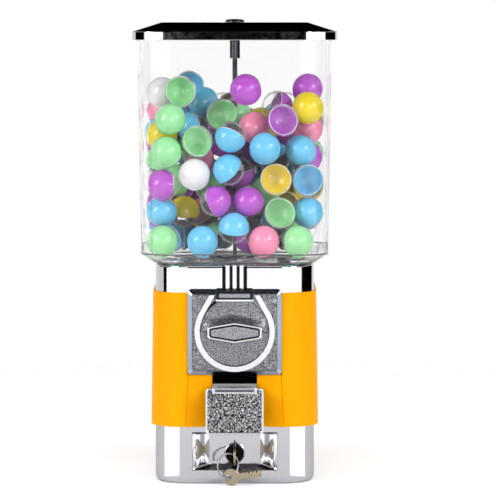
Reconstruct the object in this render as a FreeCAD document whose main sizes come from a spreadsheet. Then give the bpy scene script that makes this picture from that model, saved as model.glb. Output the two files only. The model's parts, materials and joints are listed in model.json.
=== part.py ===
import FreeCAD, Part
import math
import os
import random
import re

import Sketcher
from FreeCAD import Placement, Rotation, Vector

# Countertop capsule vending machine: clear canister on a chrome neck, yellow body, chrome cash base.
# Millimetres, +Z up, front toward -Y, origin on the table under the centre rod.

SIZES = {
    # Stack of the main shells, heights above the table
    "foot_height": 2, "foot_radius": 7, "foot_spread": 42,
    "base_top": 58, "base_width": 160, "base_corner": 34, "base_round": 10, "base_wall": 3,
    "base_sill": 12, "plate_thick": 4, "plate_width": 135, "plate_corner": 24,
    "body_top": 192, "body_low_width": 168, "body_top_width": 164, "body_corner": 35, "body_wall": 3,
    "neck_top": 221, "neck_width": 159, "neck_corner": 33, "neck_flare": 164, "neck_wall": 3,
    "spigot_drop": 8, "spigot_width": 157, "ledge_width": 146, "reed_radius": 3.4, "reed_pitch": 7,
    "deck_low": 191, "deck_thick": 3.5, "deck_width": 152.4,
    "can_top": 446, "can_foot_width": 162, "can_low_width": 187, "can_top_width": 194,
    "can_low": 230, "can_wall": 3, "can_corner": 27, "can_mouth_radius": 66,
    "lid_low": 443, "lid_width": 204, "lid_corner": 32, "lid_band": 8.6, "lid_rise": 8.9,
    "lid_flat": 146, "lid_wall": 2.4, "lid_seat": 446.3,
    # Fasteners that hold the stack together
    "tie_spread": 54, "tie_radius": 2.5, "tie_hole": 2.7, "tie_head": 5, "tie_head_height": 2.4,
    "nut_radius": 4.6, "nut_height": 4,
    # Dispensing wheel and its drive
    "wheel_low": 201, "wheel_height": 18, "wheel_radius": 69, "pocket_radius": 17.5,
    "pocket_pitch": 43, "pocket_count": 6, "bush_radius": 7, "bush_flange": 12, "running_gap": 0.05,
    "drop_radius": 18.2, "gear_module": 1.8, "pinion_teeth": 12, "idler_teeth": 18, "crown_teeth": 72,
    "gear_back": 62.5, "gear_front": 67.5, "idler_pin_radius": 2.5,
    # Centre rod and lid lock
    "rod_radius": 2, "rod_low": 186, "rod_top": 438, "sleeve_radius": 2.5, "sleeve_low": 394,
    "collar_radius": 3.5, "collar_low": 391, "barrel_radius": 5.2, "barrel_low": 424,
    "cap_radius": 9.6, "cap_height": 3.4,
    # Coin mechanism on the front
    "mech_height": 154, "mech_back": 80, "mech_face": 88, "mech_half": 47, "mech_low": 110.5,
    "mech_top": 195.5, "mech_bevel": 3, "dial_radius": 34.3, "dial_recess": 34.7, "dial_face": 89.6,
    "dial_floor": 83.5, "ring_radius": 39.8, "ring_face": 92, "ring_lean": 29, "ring_leg": 26,
    "leg_step": 0.15, "leg_root": 3, "ring_leg_top": 190.6, "hood_half": 18, "hood_low": 184.6,
    "hood_face": 96, "slot_half": 13.5, "slot_gap": 4.6, "grip_half": 27.2, "grip_mid": 10.5,
    "grip_end": 5.7, "grip_face": 101.5, "shaft_radius": 4, "cup_radius": 36.8, "cup_wall": 2,
    "cup_back": 71, "bracket_back": 69, "bracket_half": 41.5, "ratchet_radius": 22,
    "ratchet_teeth": 16, "mech_screw_x": 36, "mech_screw_z": 33,
    # Capsule chute and its door
    "chute_half": 22, "chute_wall": 2, "door_half": 28.8, "door_low": 52.9, "door_top": 99.2,
    "door_back": 99.4, "door_face": 102, "door_hinge": 97.2, "hinge_radius": 1.6, "chute_roof": 94,
    # Cash drawer and its lock
    "drawer_half": 42.4, "drawer_low": 14, "drawer_top": 52.2, "drawer_face": 80, "drawer_panel": 66,
    "drawer_back": 62, "panel_half": 24.5, "tray_half": 39, "tray_end": 58, "tray_height": 26,
    "tray_low": 16, "lock_height": 29.7, "bezel_radius": 10.6, "lock_radius": 8, "plug_radius": 5,
    "bow_radius": 10.5, "bow_hole": 4, "key_thick": 2, "ring_wire": 0.8, "key_ring": 12,
    # Vending capsules
    "capsule_radius": 16, "capsule_wall": 1, "capsule_gap": 0.5, "goods_floor": 226.4,
    "goods_top": 412,
}

doc = FreeCAD.newDocument("capsule_vending_machine")
sheet = doc.addObject("Spreadsheet::Sheet", "Sizes")
for row, (alias, amount) in enumerate(SIZES.items(), start=1):
    sheet.set(f"A{row}", alias)
    sheet.set(f"B{row}", str(amount))
    sheet.setAlias(f"B{row}", alias)
doc.recompute()

SUBPARTS = []
IDLER_HEIGHT = "mech_height + gear_module * (pinion_teeth + idler_teeth) / 2"
NAME = re.compile(r"[a-z][a-z_0-9]*")
ALONG = {
    "X": Rotation(Vector(0, 1, 0), 90),
    "Y": Rotation(Vector(1, 0, 0), -90),
    "Z": Rotation(),
}


def bound(formula):
    """Write a formula of size names as an expression on the sheet's cells."""
    return NAME.sub(lambda word: f"Sizes.{word.group()}" if word.group() in SIZES else word.group(),
                    str(formula))


def value(formula):
    """Work a formula of size names out to a plain number."""
    return float(sheet.evalExpression(bound(formula)))


def tie(item, prop, formula):
    """Bind one property of an object to the sheet."""
    item.setExpression(prop, bound(formula))


def keep(item, label):
    """Name a finished sub-part and put it on the list of pieces to write."""
    item.Label = label
    SUBPARTS.append(item)
    return item


def place(item, spot, turn=None):
    """Put an object at a spot given as three formulas, with an optional turn."""
    item.Placement = Placement(Vector(), turn or Rotation())
    for letter, formula in zip("xyz", spot):
        tie(item, f"Placement.Base.{letter}", formula)
    return item


def box(name, low, high):
    """Block between two opposite corners, each given as three formulas."""
    item = doc.addObject("Part::Box", name)
    for prop, near, far in zip(("Length", "Width", "Height"), low, high):
        tie(item, prop, f"({far}) - ({near})")
    return place(item, low)


def cylinder(name, radius, start, length, along="Z"):
    """Round bar from a start point along one axis."""
    item = doc.addObject("Part::Cylinder", name)
    tie(item, "Radius", radius)
    tie(item, "Height", length)
    return place(item, start, ALONG[along])


def cone(name, low_radius, top_radius, start, length, along="Z"):
    """Tapered round bar from a start point along one axis."""
    item = doc.addObject("Part::Cone", name)
    tie(item, "Radius1", low_radius)
    tie(item, "Radius2", top_radius)
    tie(item, "Height", length)
    return place(item, start, ALONG[along])


def hexagon(name, radius, start, length, along="Z"):
    """Six-sided bar, such as a nut blank."""
    item = doc.addObject("Part::Prism", name)
    item.Polygon = 6
    tie(item, "Circumradius", radius)
    tie(item, "Height", length)
    return place(item, start, ALONG[along])


def fuse(name, pieces):
    """Join several objects to one solid."""
    item = doc.addObject("Part::MultiFuse", name)
    item.Shapes = pieces
    item.Refine = True
    return item


def cut(name, base, tools):
    """Take several objects away from a base."""
    item = doc.addObject("Part::Cut", name)
    item.Base = base
    item.Tool = tools[0] if len(tools) == 1 else fuse(f"{name}_tools", tools)
    item.Refine = True
    return item


def group(name, pieces):
    """Hold identical separate pieces as one node."""
    item = doc.addObject("Part::Compound", name)
    item.Links = pieces
    return item


def new_body(label):
    """Start a body that is built from sketches and features."""
    return doc.addObject("PartDesign::Body", label)


def sketch_on(body, name, role, offset="0"):
    """Sketch on one of the body's own origin planes, moved along its normal."""
    sketch = body.newObject("Sketcher::SketchObject", name)
    plane = next(item for item in body.Origin.OriginFeatures if item.Role == role)
    sketch.AttachmentSupport = [(plane, "")]
    sketch.MapMode = "FlatFace"
    tie(sketch, "AttachmentOffset.Base.z", offset)
    return sketch


def dimension(sketch, kind, references, formula):
    """Add a driving dimension that follows a formula."""
    index = sketch.addConstraint(Sketcher.Constraint(kind, *references, value(formula)))
    tie(sketch, f"Constraints[{index}]", formula)


def outline(body, name, role, points, offset="0"):
    """Closed outline of straight runs through points given as pairs of formulas."""
    sketch = sketch_on(body, name, role, offset)
    corners = [Vector(value(across), value(up), 0) for across, up in points]
    count = len(corners)
    for index, corner in enumerate(corners):
        sketch.addGeometry(Part.LineSegment(corner, corners[(index + 1) % count]), False)
    for index in range(count):
        following = (index + 1) % count
        sketch.addConstraint(Sketcher.Constraint("Coincident", index, 2, following, 1))
    for index, (across, up) in enumerate(points):
        dimension(sketch, "DistanceX", (-1, 1, index, 1), across)
        dimension(sketch, "DistanceY", (-1, 1, index, 1), up)
    return sketch


def circle(body, name, role, radius, offset="0", middle=("0", "0")):
    """Circle about a middle point."""
    sketch = sketch_on(body, name, role, offset)
    centre = Vector(value(middle[0]), value(middle[1]), 0)
    sketch.addGeometry(Part.Circle(centre, Vector(0, 0, 1), value(radius)), False)
    dimension(sketch, "Radius", (0,), radius)
    dimension(sketch, "DistanceX", (-1, 1, 0, 3), middle[0])
    dimension(sketch, "DistanceY", (-1, 1, 0, 3), middle[1])
    return sketch


def rounded(body, name, role, width, depth, corner, offset="0", lift="0"):
    """Rectangle with round corners, centred across and lifted by a formula."""
    sketch = sketch_on(body, name, role, offset)
    half_x, half_y, radius, rise = value(width) / 2, value(depth) / 2, value(corner), value(lift)
    in_x, in_y = half_x - radius, half_y - radius
    lines = [((-in_x, -half_y), (in_x, -half_y)), ((half_x, -in_y), (half_x, in_y)),
             ((in_x, half_y), (-in_x, half_y)), ((-half_x, in_y), (-half_x, -in_y))]
    centres = [(in_x, -in_y, -90), (in_x, in_y, 0), (-in_x, in_y, 90), (-in_x, -in_y, 180)]
    for start, end in lines:
        run = Part.LineSegment(Vector(start[0], start[1] + rise, 0), Vector(end[0], end[1] + rise, 0))
        sketch.addGeometry(run, False)
    for across, up, angle in centres:
        round_line = Part.Circle(Vector(across, up + rise, 0), Vector(0, 0, 1), radius)
        begin = math.radians(angle)
        sketch.addGeometry(Part.ArcOfCircle(round_line, begin, begin + math.pi / 2), False)
    for index in range(4):
        sketch.addConstraint(Sketcher.Constraint("Tangent", index, 2, index + 4, 1))
        sketch.addConstraint(Sketcher.Constraint("Tangent", index + 4, 2, (index + 1) % 4, 1))
    for index, kind in enumerate(("Horizontal", "Vertical", "Horizontal", "Vertical")):
        sketch.addConstraint(Sketcher.Constraint(kind, index))
    for index in range(5, 8):
        sketch.addConstraint(Sketcher.Constraint("Equal", 4, index))
    dimension(sketch, "Radius", (4,), corner)
    dimension(sketch, "DistanceX", (3, 1, 1, 1), width)
    dimension(sketch, "DistanceY", (0, 1, 2, 1), depth)
    dimension(sketch, "DistanceX", (-1, 1, 1, 1), f"({width}) / 2")
    dimension(sketch, "DistanceY", (-1, 1, 2, 1), f"({depth}) / 2 + ({lift})")
    return sketch


def feature(body, kind, profile, **settings):
    """Add a feature made from a profile sketch."""
    item = body.newObject(f"PartDesign::{kind}", f"{profile.Name}_{kind}")
    item.Profile = profile
    for prop, setting in settings.items():
        setattr(item, prop, setting)
    return item


def pad(body, profile, length, **settings):
    """Extrude a sketch along its normal."""
    item = feature(body, "Pad", profile, **settings)
    tie(item, "Length", length)
    return item


def pocket(body, profile, depth, **settings):
    """Cut a sketch into the body, against its normal unless reversed."""
    item = feature(body, "Pocket", profile, **settings)
    tie(item, "Length", depth)
    return item


def loft(body, kind, sections):
    """Straight-sided loft through sections, added or taken away."""
    return feature(body, kind, sections[0], Sections=sections[1:], Ruled=True)


def around(body, last, axis, count):
    """Repeat a feature evenly about one of its sketch's axes."""
    item = body.newObject("PartDesign::PolarPattern", f"{last.Name}_around")
    item.Originals = [last]
    item.Axis = axis
    item.Angle = 360
    tie(item, "Occurrences", count)
    body.Tip = item
    return item


def square_pegs(name, radius, spread, low, length):
    """Four equal round bars at the corners of a square about the centre."""
    return [cylinder(f"{name}_{number}", radius, (f"{side_x} * {spread}", f"{side_y} * {spread}", low),
                     length)
            for number, (side_x, side_y) in enumerate(((1, 1), (-1, 1), (-1, -1), (1, -1)))]


def make_base():
    """Chrome cash base: hollow shell, bottom plate, feet and drawer runners."""
    body = new_body("base_block")
    outer = rounded(body, "base_outer", "XY_Plane", "base_width", "base_width", "base_corner",
                    "foot_height")
    shell = pad(body, outer, "base_top - foot_height")
    doc.recompute()
    low = value("foot_height") + 0.01
    edges = [f"Edge{number}" for number, edge in enumerate(shell.Shape.Edges, start=1)
             if edge.BoundBox.ZMax < low]
    skirt = body.newObject("PartDesign::Fillet", "base_skirt_round")
    skirt.Base = (shell, edges)
    tie(skirt, "Radius", "base_round")
    cavity = rounded(body, "base_cavity", "XY_Plane", "base_width - 2 * base_wall",
                     "base_width - 2 * base_wall", "base_corner - base_wall", "base_sill")
    pocket(body, cavity, "base_top - base_wall - base_sill", Reversed=True)
    mouth = rounded(body, "base_mouth", "XY_Plane", "plate_width + 0.4", "plate_width + 0.4",
                    "plate_corner + 0.2", "foot_height")
    pocket(body, mouth, "base_sill - foot_height + 0.1", Reversed=True)
    doc.recompute()
    gate = box("base_gate", ("-drawer_half - 0.4", "-base_width / 2 - 1", "drawer_low - 0.4"),
               ("drawer_half + 0.4", "-drawer_back", "drawer_top + 0.4"))
    hatch = box("base_hatch", ("-46", "-45", "base_top - base_wall - 1"), ("46", "66", "base_top + 1"))
    spout = box("base_spout_room", ("-chute_half - 0.4", "-base_width / 2 - 1", "drawer_top + 0.4"),
                ("chute_half + 0.4", "-64", "base_top + 1"))
    holes = square_pegs("base_tie_hole", "tie_hole", "tie_spread", "foot_height", "base_top")
    keep(cut("base_shell", body, [gate, hatch, spout] + holes), "base_shell")

    plate = new_body("base_plate_blank")
    sheet_line = rounded(plate, "plate_outline", "XY_Plane", "plate_width", "plate_width", "plate_corner",
                         "foot_height")
    pad(plate, sheet_line, "plate_thick")
    heads = square_pegs("plate_head_seat", "tie_head + 0.2", "tie_spread", "foot_height - 1",
                        "tie_head_height + 1.2")
    bores = square_pegs("plate_tie_hole", "tie_hole", "tie_spread", "foot_height", "plate_thick + 1")
    keep(cut("base_plate", plate, heads + bores), "base_plate")

    feet = [cone(f"foot_{number}", "foot_radius - 0.6", "foot_radius",
                 (f"{side_x} * foot_spread", f"{side_y} * foot_spread", "0"), "foot_height")
            for number, (side_x, side_y) in enumerate(((1, 1), (-1, 1), (-1, -1), (1, -1)))]
    keep(group("rubber_feet", feet), "rubber_feet")

    rails = [box(f"runner_{name}", (f"{side} * 33 - 3.5", "-58", "foot_height + plate_thick"),
                 (f"{side} * 33 + 3.5", "tray_end + 4", "tray_low - 0.3"))
             for name, side in (("left", -1), ("right", 1))]
    keep(group("drawer_runners", rails), "drawer_runners")


def make_body():
    """Yellow body shell: tapered square tube with a floor flange and a notch for the front gear."""
    body = new_body("body_block")
    low = rounded(body, "body_low", "XY_Plane", "body_low_width", "body_low_width", "body_corner",
                  "base_top")
    top = rounded(body, "body_high", "XY_Plane", "body_top_width", "body_top_width", "body_corner",
                  "body_top")
    loft(body, "AdditiveLoft", [low, top])
    low_in = rounded(body, "body_low_inside", "XY_Plane", "body_low_width - 2 * body_wall",
                     "body_low_width - 2 * body_wall", "body_corner - body_wall", "base_top + body_wall")
    top_in = rounded(body, "body_high_inside", "XY_Plane", "body_top_width - 2 * body_wall",
                     "body_top_width - 2 * body_wall", "body_corner - body_wall", "body_top")
    loft(body, "SubtractiveLoft", [low_in, top_in])
    notch = box("body_mech_notch", ("-mech_half - 0.15", "-mech_face", "mech_low - 0.15"),
                ("mech_half + 0.15", "-70", "body_top + 1"))
    gate = box("body_chute_notch", ("-chute_half - 0.4", "-mech_face", "base_top - 1"),
               ("chute_half + 0.4", "-40", "mech_low"))
    hatch = box("body_hatch", ("-46", "-45", "base_top - 1"), ("46", "66", "base_top + body_wall + 1"))
    holes = square_pegs("body_tie_hole", "tie_hole", "tie_spread", "base_top - 1", "body_wall + 2")
    keep(cut("body_shell", body, [notch, gate, hatch] + holes), "body_shell")


def make_neck():
    """Chrome neck with a flared lip, a spigot into the body and three reeds on the front."""
    body = new_body("neck_block")
    heights = (("body_top", "neck_width"), ("neck_top - 10", "neck_width"),
               ("neck_top - 4.5", "neck_width + 1.6"),
               ("neck_top", "neck_flare"))
    rings = [rounded(body, f"neck_ring_{number}", "XY_Plane", width, width, "neck_corner", height)
             for number, (height, width) in enumerate(heights)]
    loft(body, "AdditiveLoft", rings)
    spigot = rounded(body, "neck_spigot", "XY_Plane", "spigot_width", "spigot_width", "neck_corner - 1",
                     "body_top - spigot_drop")
    pad(body, spigot, "spigot_drop")
    bore = rounded(body, "neck_bore", "XY_Plane", "neck_width - 2 * neck_wall",
                   "neck_width - 2 * neck_wall",
                   "neck_corner - neck_wall", "deck_low")
    pocket(body, bore, "neck_top - deck_low + 1", Reversed=True)
    ledge = rounded(body, "neck_ledge", "XY_Plane", "ledge_width", "ledge_width", "neck_corner - 7",
                    "body_top - spigot_drop")
    pocket(body, ledge, "spigot_drop + 1", Reversed=True)
    reeds = [cylinder(f"reed_{number}", "reed_radius",
                      (f"{number} * reed_pitch", "-neck_width / 2", "mech_top + 0.4"),
                      "neck_top - mech_top - 2")
             for number in (-1, 0, 1)]
    room = box("neck_mech_room", ("-mech_half - 0.5", "-neck_width / 2", "body_top - spigot_drop - 1"),
               ("mech_half + 0.5", "-60", "body_top"))
    inside = box("neck_reed_trim", ("-20", "-neck_width / 2 + neck_wall", "deck_low"),
                 ("20", "-60", "neck_top"))
    keep(cut("neck_housing", fuse("neck_with_reeds", [body] + reeds), [room, inside]), "neck_housing")


def make_canister():
    """Clear canister: moulded square tub with a bevelled foot and a round mouth over the wheel."""
    body = new_body("canister_block")
    shape = (("neck_top", "can_foot_width", "can_corner"), ("can_low", "can_low_width", "can_corner + 4"),
             ("can_top", "can_top_width", "can_corner + 4"))
    skins = [rounded(body, f"can_outer_{number}", "XY_Plane", width, width, corner, height)
             for number, (height, width, corner) in enumerate(shape)]
    loft(body, "AdditiveLoft", skins)
    hollow = (("neck_top + can_wall", "can_foot_width - 2", "can_corner - 1"),
              ("can_low + 1.4", "can_low_width - 2 * can_wall", "can_corner + 1"),
              ("can_top", "can_top_width - 2 * can_wall", "can_corner + 1"))
    rooms = [rounded(body, f"can_inner_{number}", "XY_Plane", width, width, corner, height)
             for number, (height, width, corner) in enumerate(hollow)]
    loft(body, "SubtractiveLoft", rooms)
    mouth = circle(body, "can_mouth", "XY_Plane", "can_mouth_radius", "neck_top")
    pocket(body, mouth, "can_wall + 1", Reversed=True)
    keep(body, "canister")


def make_lid():
    """Chrome lid: a band, a bevelled top and a seat that rests on the canister rim."""
    body = new_body("lid_block")
    sections = (("lid_low", "lid_width", "lid_corner"), ("lid_low + lid_band", "lid_width", "lid_corner"),
                ("lid_low + lid_band + lid_rise", "lid_flat", "lid_corner - 10"))
    skins = [rounded(body, f"lid_outer_{number}", "XY_Plane", width, width, corner, height)
             for number, (height, width, corner) in enumerate(sections)]
    loft(body, "AdditiveLoft", skins)
    skirt = rounded(body, "lid_skirt_room", "XY_Plane", "lid_width - 2 * lid_wall",
                    "lid_width - 2 * lid_wall",
                    "lid_corner - lid_wall", "lid_low")
    pocket(body, skirt, "lid_seat - lid_low", Reversed=True)
    roof = (("lid_seat", "can_top_width - 5", "can_corner + 2"),
            ("lid_low + lid_band", "can_top_width - 5", "can_corner + 2"),
            ("lid_low + lid_band + lid_rise - lid_wall", "lid_flat - 8", "lid_corner - 14"))
    rooms = [rounded(body, f"lid_inner_{number}", "XY_Plane", width, width, corner, height)
             for number, (height, width, corner) in enumerate(roof)]
    loft(body, "SubtractiveLoft", rooms)
    hole = circle(body, "lid_lock_hole", "XY_Plane", "barrel_radius + 0.06", "lid_low")
    pocket(body, hole, "lid_band + lid_rise + 1", Reversed=True)
    keep(body, "lid")

    roof_top = "lid_low + lid_band + lid_rise"
    cap = cone("lid_cap", "cap_radius", "cap_radius - 1.2", ("0", "0", f"{roof_top} + 0.1"), "cap_height")
    barrel = cylinder("lid_barrel", "barrel_radius", ("0", "0", "barrel_low"),
                      f"{roof_top} - barrel_low + 0.4")
    groove = box("lid_cap_slot", ("-cap_radius", "-0.8", f"{roof_top} + cap_height - 1.1"),
                 ("cap_radius", "0.8", f"{roof_top} + cap_height + 1"))
    bore = cylinder("lid_barrel_bore", "rod_radius + 0.25", ("0", "0", "barrel_low - 1"),
                    "rod_top - barrel_low + 3")
    keep(cut("lid_lock", fuse("lid_lock_blank", [cap, barrel]), [groove, bore]), "lid_lock")


def make_deck():
    """Wheel deck in the neck, with the drop hole, the drive slot and the tie bolts through it."""
    body = new_body("deck_blank")
    line = rounded(body, "deck_outline", "XY_Plane", "deck_width", "deck_width",
                   "neck_corner - neck_wall - 0.3",
                   "deck_low")
    pad(body, line, "deck_thick")
    drop = cylinder("deck_drop", "drop_radius", ("0", "pocket_pitch", "deck_low - 1"), "deck_thick + 2")
    slot = box("deck_slot", ("-17", "-gear_front - 2", "deck_low - 1"),
               ("17", "-gear_back + 2", "deck_low + deck_thick + 1"))
    rod_hole = cylinder("deck_rod_hole", "rod_radius + 0.1", ("0", "0", "deck_low - 1"), "deck_thick + 2")
    holes = square_pegs("deck_tie_hole", "tie_hole", "tie_spread", "deck_low - 1", "deck_thick + 2")
    keep(cut("wheel_deck", body, [drop, slot, rod_hole] + holes), "wheel_deck")

    deck_top = "deck_low + deck_thick"
    post = cylinder("bush_post", "bush_radius", ("0", "0", deck_top),
                    f"wheel_low + wheel_height - ({deck_top}) + 0.2")
    flange = cylinder("bush_flange_disc", "bush_flange", ("0", "0", deck_top),
                      f"wheel_low - ({deck_top}) - 0.3")
    bore = cylinder("bush_bore", "rod_radius + 0.1", ("0", "0", "deck_low"), "wheel_height + 20")
    keep(cut("wheel_bush", fuse("bush_blank", [post, flange]), [bore]), "wheel_bush")

    stems = square_pegs("tie_stem", "tie_radius", "tie_spread", "foot_height",
                        f"{deck_top} - foot_height + 5")
    heads = square_pegs("tie_cap", "tie_head", "tie_spread", "foot_height", "tie_head_height")
    bolts = [fuse(f"tie_bolt_{number}", list(pair)) for number, pair in enumerate(zip(stems, heads))]
    keep(group("tie_bolts", bolts), "tie_bolts")
    nuts = []
    for number, (side_x, side_y) in enumerate(((1, 1), (-1, 1), (-1, -1), (1, -1))):
        spot = (f"{side_x} * tie_spread", f"{side_y} * tie_spread", deck_top)
        blank = hexagon(f"tie_nut_blank_{number}", "nut_radius", spot, "nut_height")
        thread = cylinder(f"tie_nut_bore_{number}", "tie_radius + 0.03", spot, "nut_height + 1")
        nuts.append(cut(f"tie_nut_{number}", blank, [thread]))
    keep(group("tie_nuts", nuts), "tie_nuts")

    leg = box("baffle_leg", ("-11", "70.6", deck_top), ("11", "73", "neck_top - 0.2"))
    cover = cylinder("baffle_cover", "pocket_radius + 3", ("0", "pocket_pitch", "neck_top - 1.5"), "1.3")
    bridge = box("baffle_bridge", ("-11", "pocket_pitch", "neck_top - 1.5"), ("11", "73", "neck_top - 0.2"))
    keep(fuse("discharge_baffle", [leg, cover, bridge]), "discharge_baffle")


def make_wheel():
    """Dispensing wheel with its capsule pockets, its crown gear below and its cap above."""
    body = new_body("wheel_body")
    disc = circle(body, "wheel_disc", "XY_Plane", "wheel_radius", "wheel_low")
    pad(body, disc, "wheel_height")
    hub = circle(body, "wheel_hub_bore", "XY_Plane", "bush_radius + running_gap", "wheel_low")
    pocket(body, hub, "wheel_height + 1", Reversed=True)
    seat = circle(body, "wheel_pocket", "XY_Plane", "pocket_radius", "wheel_low", ("0", "pocket_pitch"))
    first = pocket(body, seat, "wheel_height + 1", Reversed=True)
    around(body, first, (seat, ["N_Axis"]), "pocket_count")
    keep(body, "dispensing_wheel")

    crown = new_body("crown_body")
    pitch_radius = "gear_module * crown_teeth / 2"
    rim = circle(crown, "crown_rim", "XY_Plane", f"{pitch_radius} + 3.6", "wheel_low - 1.6")
    pad(crown, rim, "1.6")
    opening = circle(crown, "crown_opening", "XY_Plane", f"{pitch_radius} - 3", "wheel_low - 1.6")
    pocket(crown, opening, "1.7", Reversed=True)
    half_pitch = "gear_module * 3.1416 / 2"
    root = f"0.56 * {half_pitch}"
    tip = f"0.26 * {half_pitch}"
    depth = "2 * gear_module"
    shift = "180 / crown_teeth"
    tooth = outline(crown, "crown_tooth", "XZ_Plane",
                    ((f"-{root}", "wheel_low - 1.4"), (f"-{tip}", f"wheel_low - 1.6 - {depth}"),
                     (tip, f"wheel_low - 1.6 - {depth}"), (root, "wheel_low - 1.4")),
                    f"{pitch_radius} - 2.6")
    tooth_pad = pad(crown, tooth, "5.2")
    around(crown, tooth_pad, (rim, ["N_Axis"]), "crown_teeth")
    tie(crown, "Placement.Rotation.Angle", shift)
    keep(crown, "crown_gear")

    cap_low = "wheel_low + wheel_height + 0.3"
    cap = cone("agitator_cap", "bush_flange + 3", "bush_flange - 5", ("0", "0", cap_low), "3.6")
    hole = cylinder("agitator_bore", "rod_radius + 0.5", ("0", "0", cap_low), "8")
    foot = cylinder("agitator_foot", "bush_flange + 3", ("0", "0", "wheel_low + wheel_height"), "0.3")
    room = cylinder("agitator_room", "bush_radius + 0.4", ("0", "0", "wheel_low + wheel_height - 1"), "1.8")
    keep(cut("wheel_cap", fuse("agitator_blank", [cap, foot]), [hole, room]), "wheel_cap")


def make_rod():
    """Centre rod that holds the lid down, with its sleeve, collar and lower nut."""
    keep(cylinder("centre_rod", "rod_radius", ("0", "0", "rod_low"), "rod_top - rod_low"), "centre_rod")
    tube = cylinder("sleeve_tube", "sleeve_radius", ("0", "0", "sleeve_low"),
                    "barrel_low - sleeve_low - 0.4")
    stop = cylinder("sleeve_stop", "collar_radius", ("0", "0", "collar_low"), "sleeve_low - collar_low")
    bore = cylinder("sleeve_bore", "rod_radius + 0.03", ("0", "0", "collar_low - 1"),
                    "barrel_low - collar_low + 2")
    keep(cut("rod_sleeve", fuse("sleeve_blank", [tube, stop]), [bore]), "rod_sleeve")
    blank = hexagon("rod_nut_blank", "nut_radius", ("0", "0", "rod_low + 1"), "deck_low - rod_low - 1")
    thread = cylinder("rod_nut_bore", "rod_radius + 0.03", ("0", "0", "rod_low"), "deck_low - rod_low + 1")
    keep(cut("rod_nut", blank, [thread]), "rod_nut")


def make_gear(label, teeth, height, bore, gap_up):
    """Spur gear on a fore-and-aft axis, with slim straight teeth that leave backlash."""
    body = new_body(f"{label}_body")
    pitch_radius = f"gear_module * {teeth} / 2"
    width = "gear_front - gear_back"
    blank = circle(body, f"{label}_blank", "XZ_Plane", f"{pitch_radius} - 1.3 * gear_module", "gear_back")
    pad(body, blank, width)
    half_pitch = "gear_module * 3.1416 / 2"
    root = f"0.52 * {half_pitch}"
    tip = f"0.2 * {half_pitch}"
    low = f"{pitch_radius} - 1.5 * gear_module"
    top = f"{pitch_radius} + 0.75 * gear_module"
    tooth = outline(body, f"{label}_tooth", "XZ_Plane",
                    ((f"-{root}", low), (root, low), (tip, top), (f"-{tip}", top)), "gear_back")
    tooth_pad = pad(body, tooth, width)
    around(body, tooth_pad, (blank, ["N_Axis"]), teeth)
    hole = circle(body, f"{label}_bore", "XZ_Plane", bore, "gear_back")
    pocket(body, hole, f"{width} + 1", Reversed=True)
    turn = Rotation(Vector(0, 1, 0), 180 / SIZES[teeth] if gap_up else 0)
    place(body, ("0", "0", height), turn)
    return keep(body, label)


def make_chute():
    """Black capsule duct from the drop hole to the front, its hinge bracket, pin and door."""
    body = new_body("chute_block")
    lip = "-door_back + 0.8"
    side = outline(body, "chute_side", "YZ_Plane",
                   (("23", "deck_low - 0.2"), ("63", "deck_low - 0.2"), ("63", "148"), ("-18", "69"),
                    (lip, "53"), (lip, "chute_roof"), ("-86", "chute_roof"), ("-86", "101"), ("-38", "109"),
                    ("23", "166")), "-chute_half")
    pad(body, side, "2 * chute_half")
    inner = outline(body, "chute_room", "YZ_Plane",
                    (("23 + chute_wall", "deck_low"), ("63 - chute_wall", "deck_low"),
                     ("63 - chute_wall", "148.9"), ("-18.8", "71"), ("-door_back - 1", "54.7"),
                     ("-door_back - 1", "chute_roof - chute_wall"), ("-84", "chute_roof - chute_wall"),
                     ("-84", "99.2"), ("-37.2", "107"), ("23 + chute_wall", "165.1")),
                    "-chute_half + chute_wall")
    pocket(body, inner, "2 * (chute_half - chute_wall)", Reversed=True)
    keep(body, "capsule_chute")

    pin_y = "-door_face + 5.4"
    ears = []
    for name, low, high in (("left", "-22", "-17.4"), ("right", "17.4", "22")):
        ears.append(cylinder(f"hinge_eye_{name}", "hinge_radius + 1", (low, pin_y, "door_hinge"), "4.6",
                             "X"))
        ears.append(box(f"hinge_arm_{name}", (low, pin_y, "door_hinge - hinge_radius - 1"),
                        (high, "-door_back + 8.4", "door_hinge + 2")))
    panel = box("hinge_panel", ("-22", "-door_back + 6.2", "chute_roof"),
                ("22", "-door_back + 8.4", "102.4"))
    pin_hole = cylinder("hinge_pin_hole", "hinge_radius + 0.02", ("-23", pin_y, "door_hinge"), "46", "X")
    keep(cut("hinge_bracket", fuse("hinge_blank", ears + [panel]), [pin_hole]), "hinge_bracket")
    keep(cylinder("hinge_pin", "hinge_radius", ("-22.4", pin_y, "door_hinge"), "44.8", "X"), "hinge_pin")

    door = new_body("door_body")
    height = "door_top - door_low"
    middle = "(door_top + door_low) / 2"
    face = rounded(door, "door_outline", "XZ_Plane", "2 * door_half", height, "5.5", "door_back", middle)
    pad(door, face, "door_face - door_back")
    dish = rounded(door, "door_dish", "XZ_Plane", "2 * door_half - 5", f"{height} - 5", "3.5",
                   "door_face - 0.7",
                   middle)
    pocket(door, dish, "2", Reversed=True)
    lug = cylinder("door_knuckle", "hinge_radius + 1.4", ("-17", pin_y, "door_hinge"), "34", "X")
    web = box("door_web", ("-17", "-door_back - 0.1", "door_hinge - 2.8"),
              ("17", pin_y, "door_hinge + 1.6"))
    bore = cylinder("door_bore", "hinge_radius + running_gap", ("-20", pin_y, "door_hinge"), "40", "X")
    keep(cut("chute_door", fuse("door_blank", [door, lug, web]), [bore]), "chute_door")


def on_shaft(name, radius, front, back):
    """Disc on the handle shaft's line between two distances in front of the centre."""
    return cylinder(name, radius, ("0", f"-({front})", "mech_height"), f"({front}) - ({back})", "Y")


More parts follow.
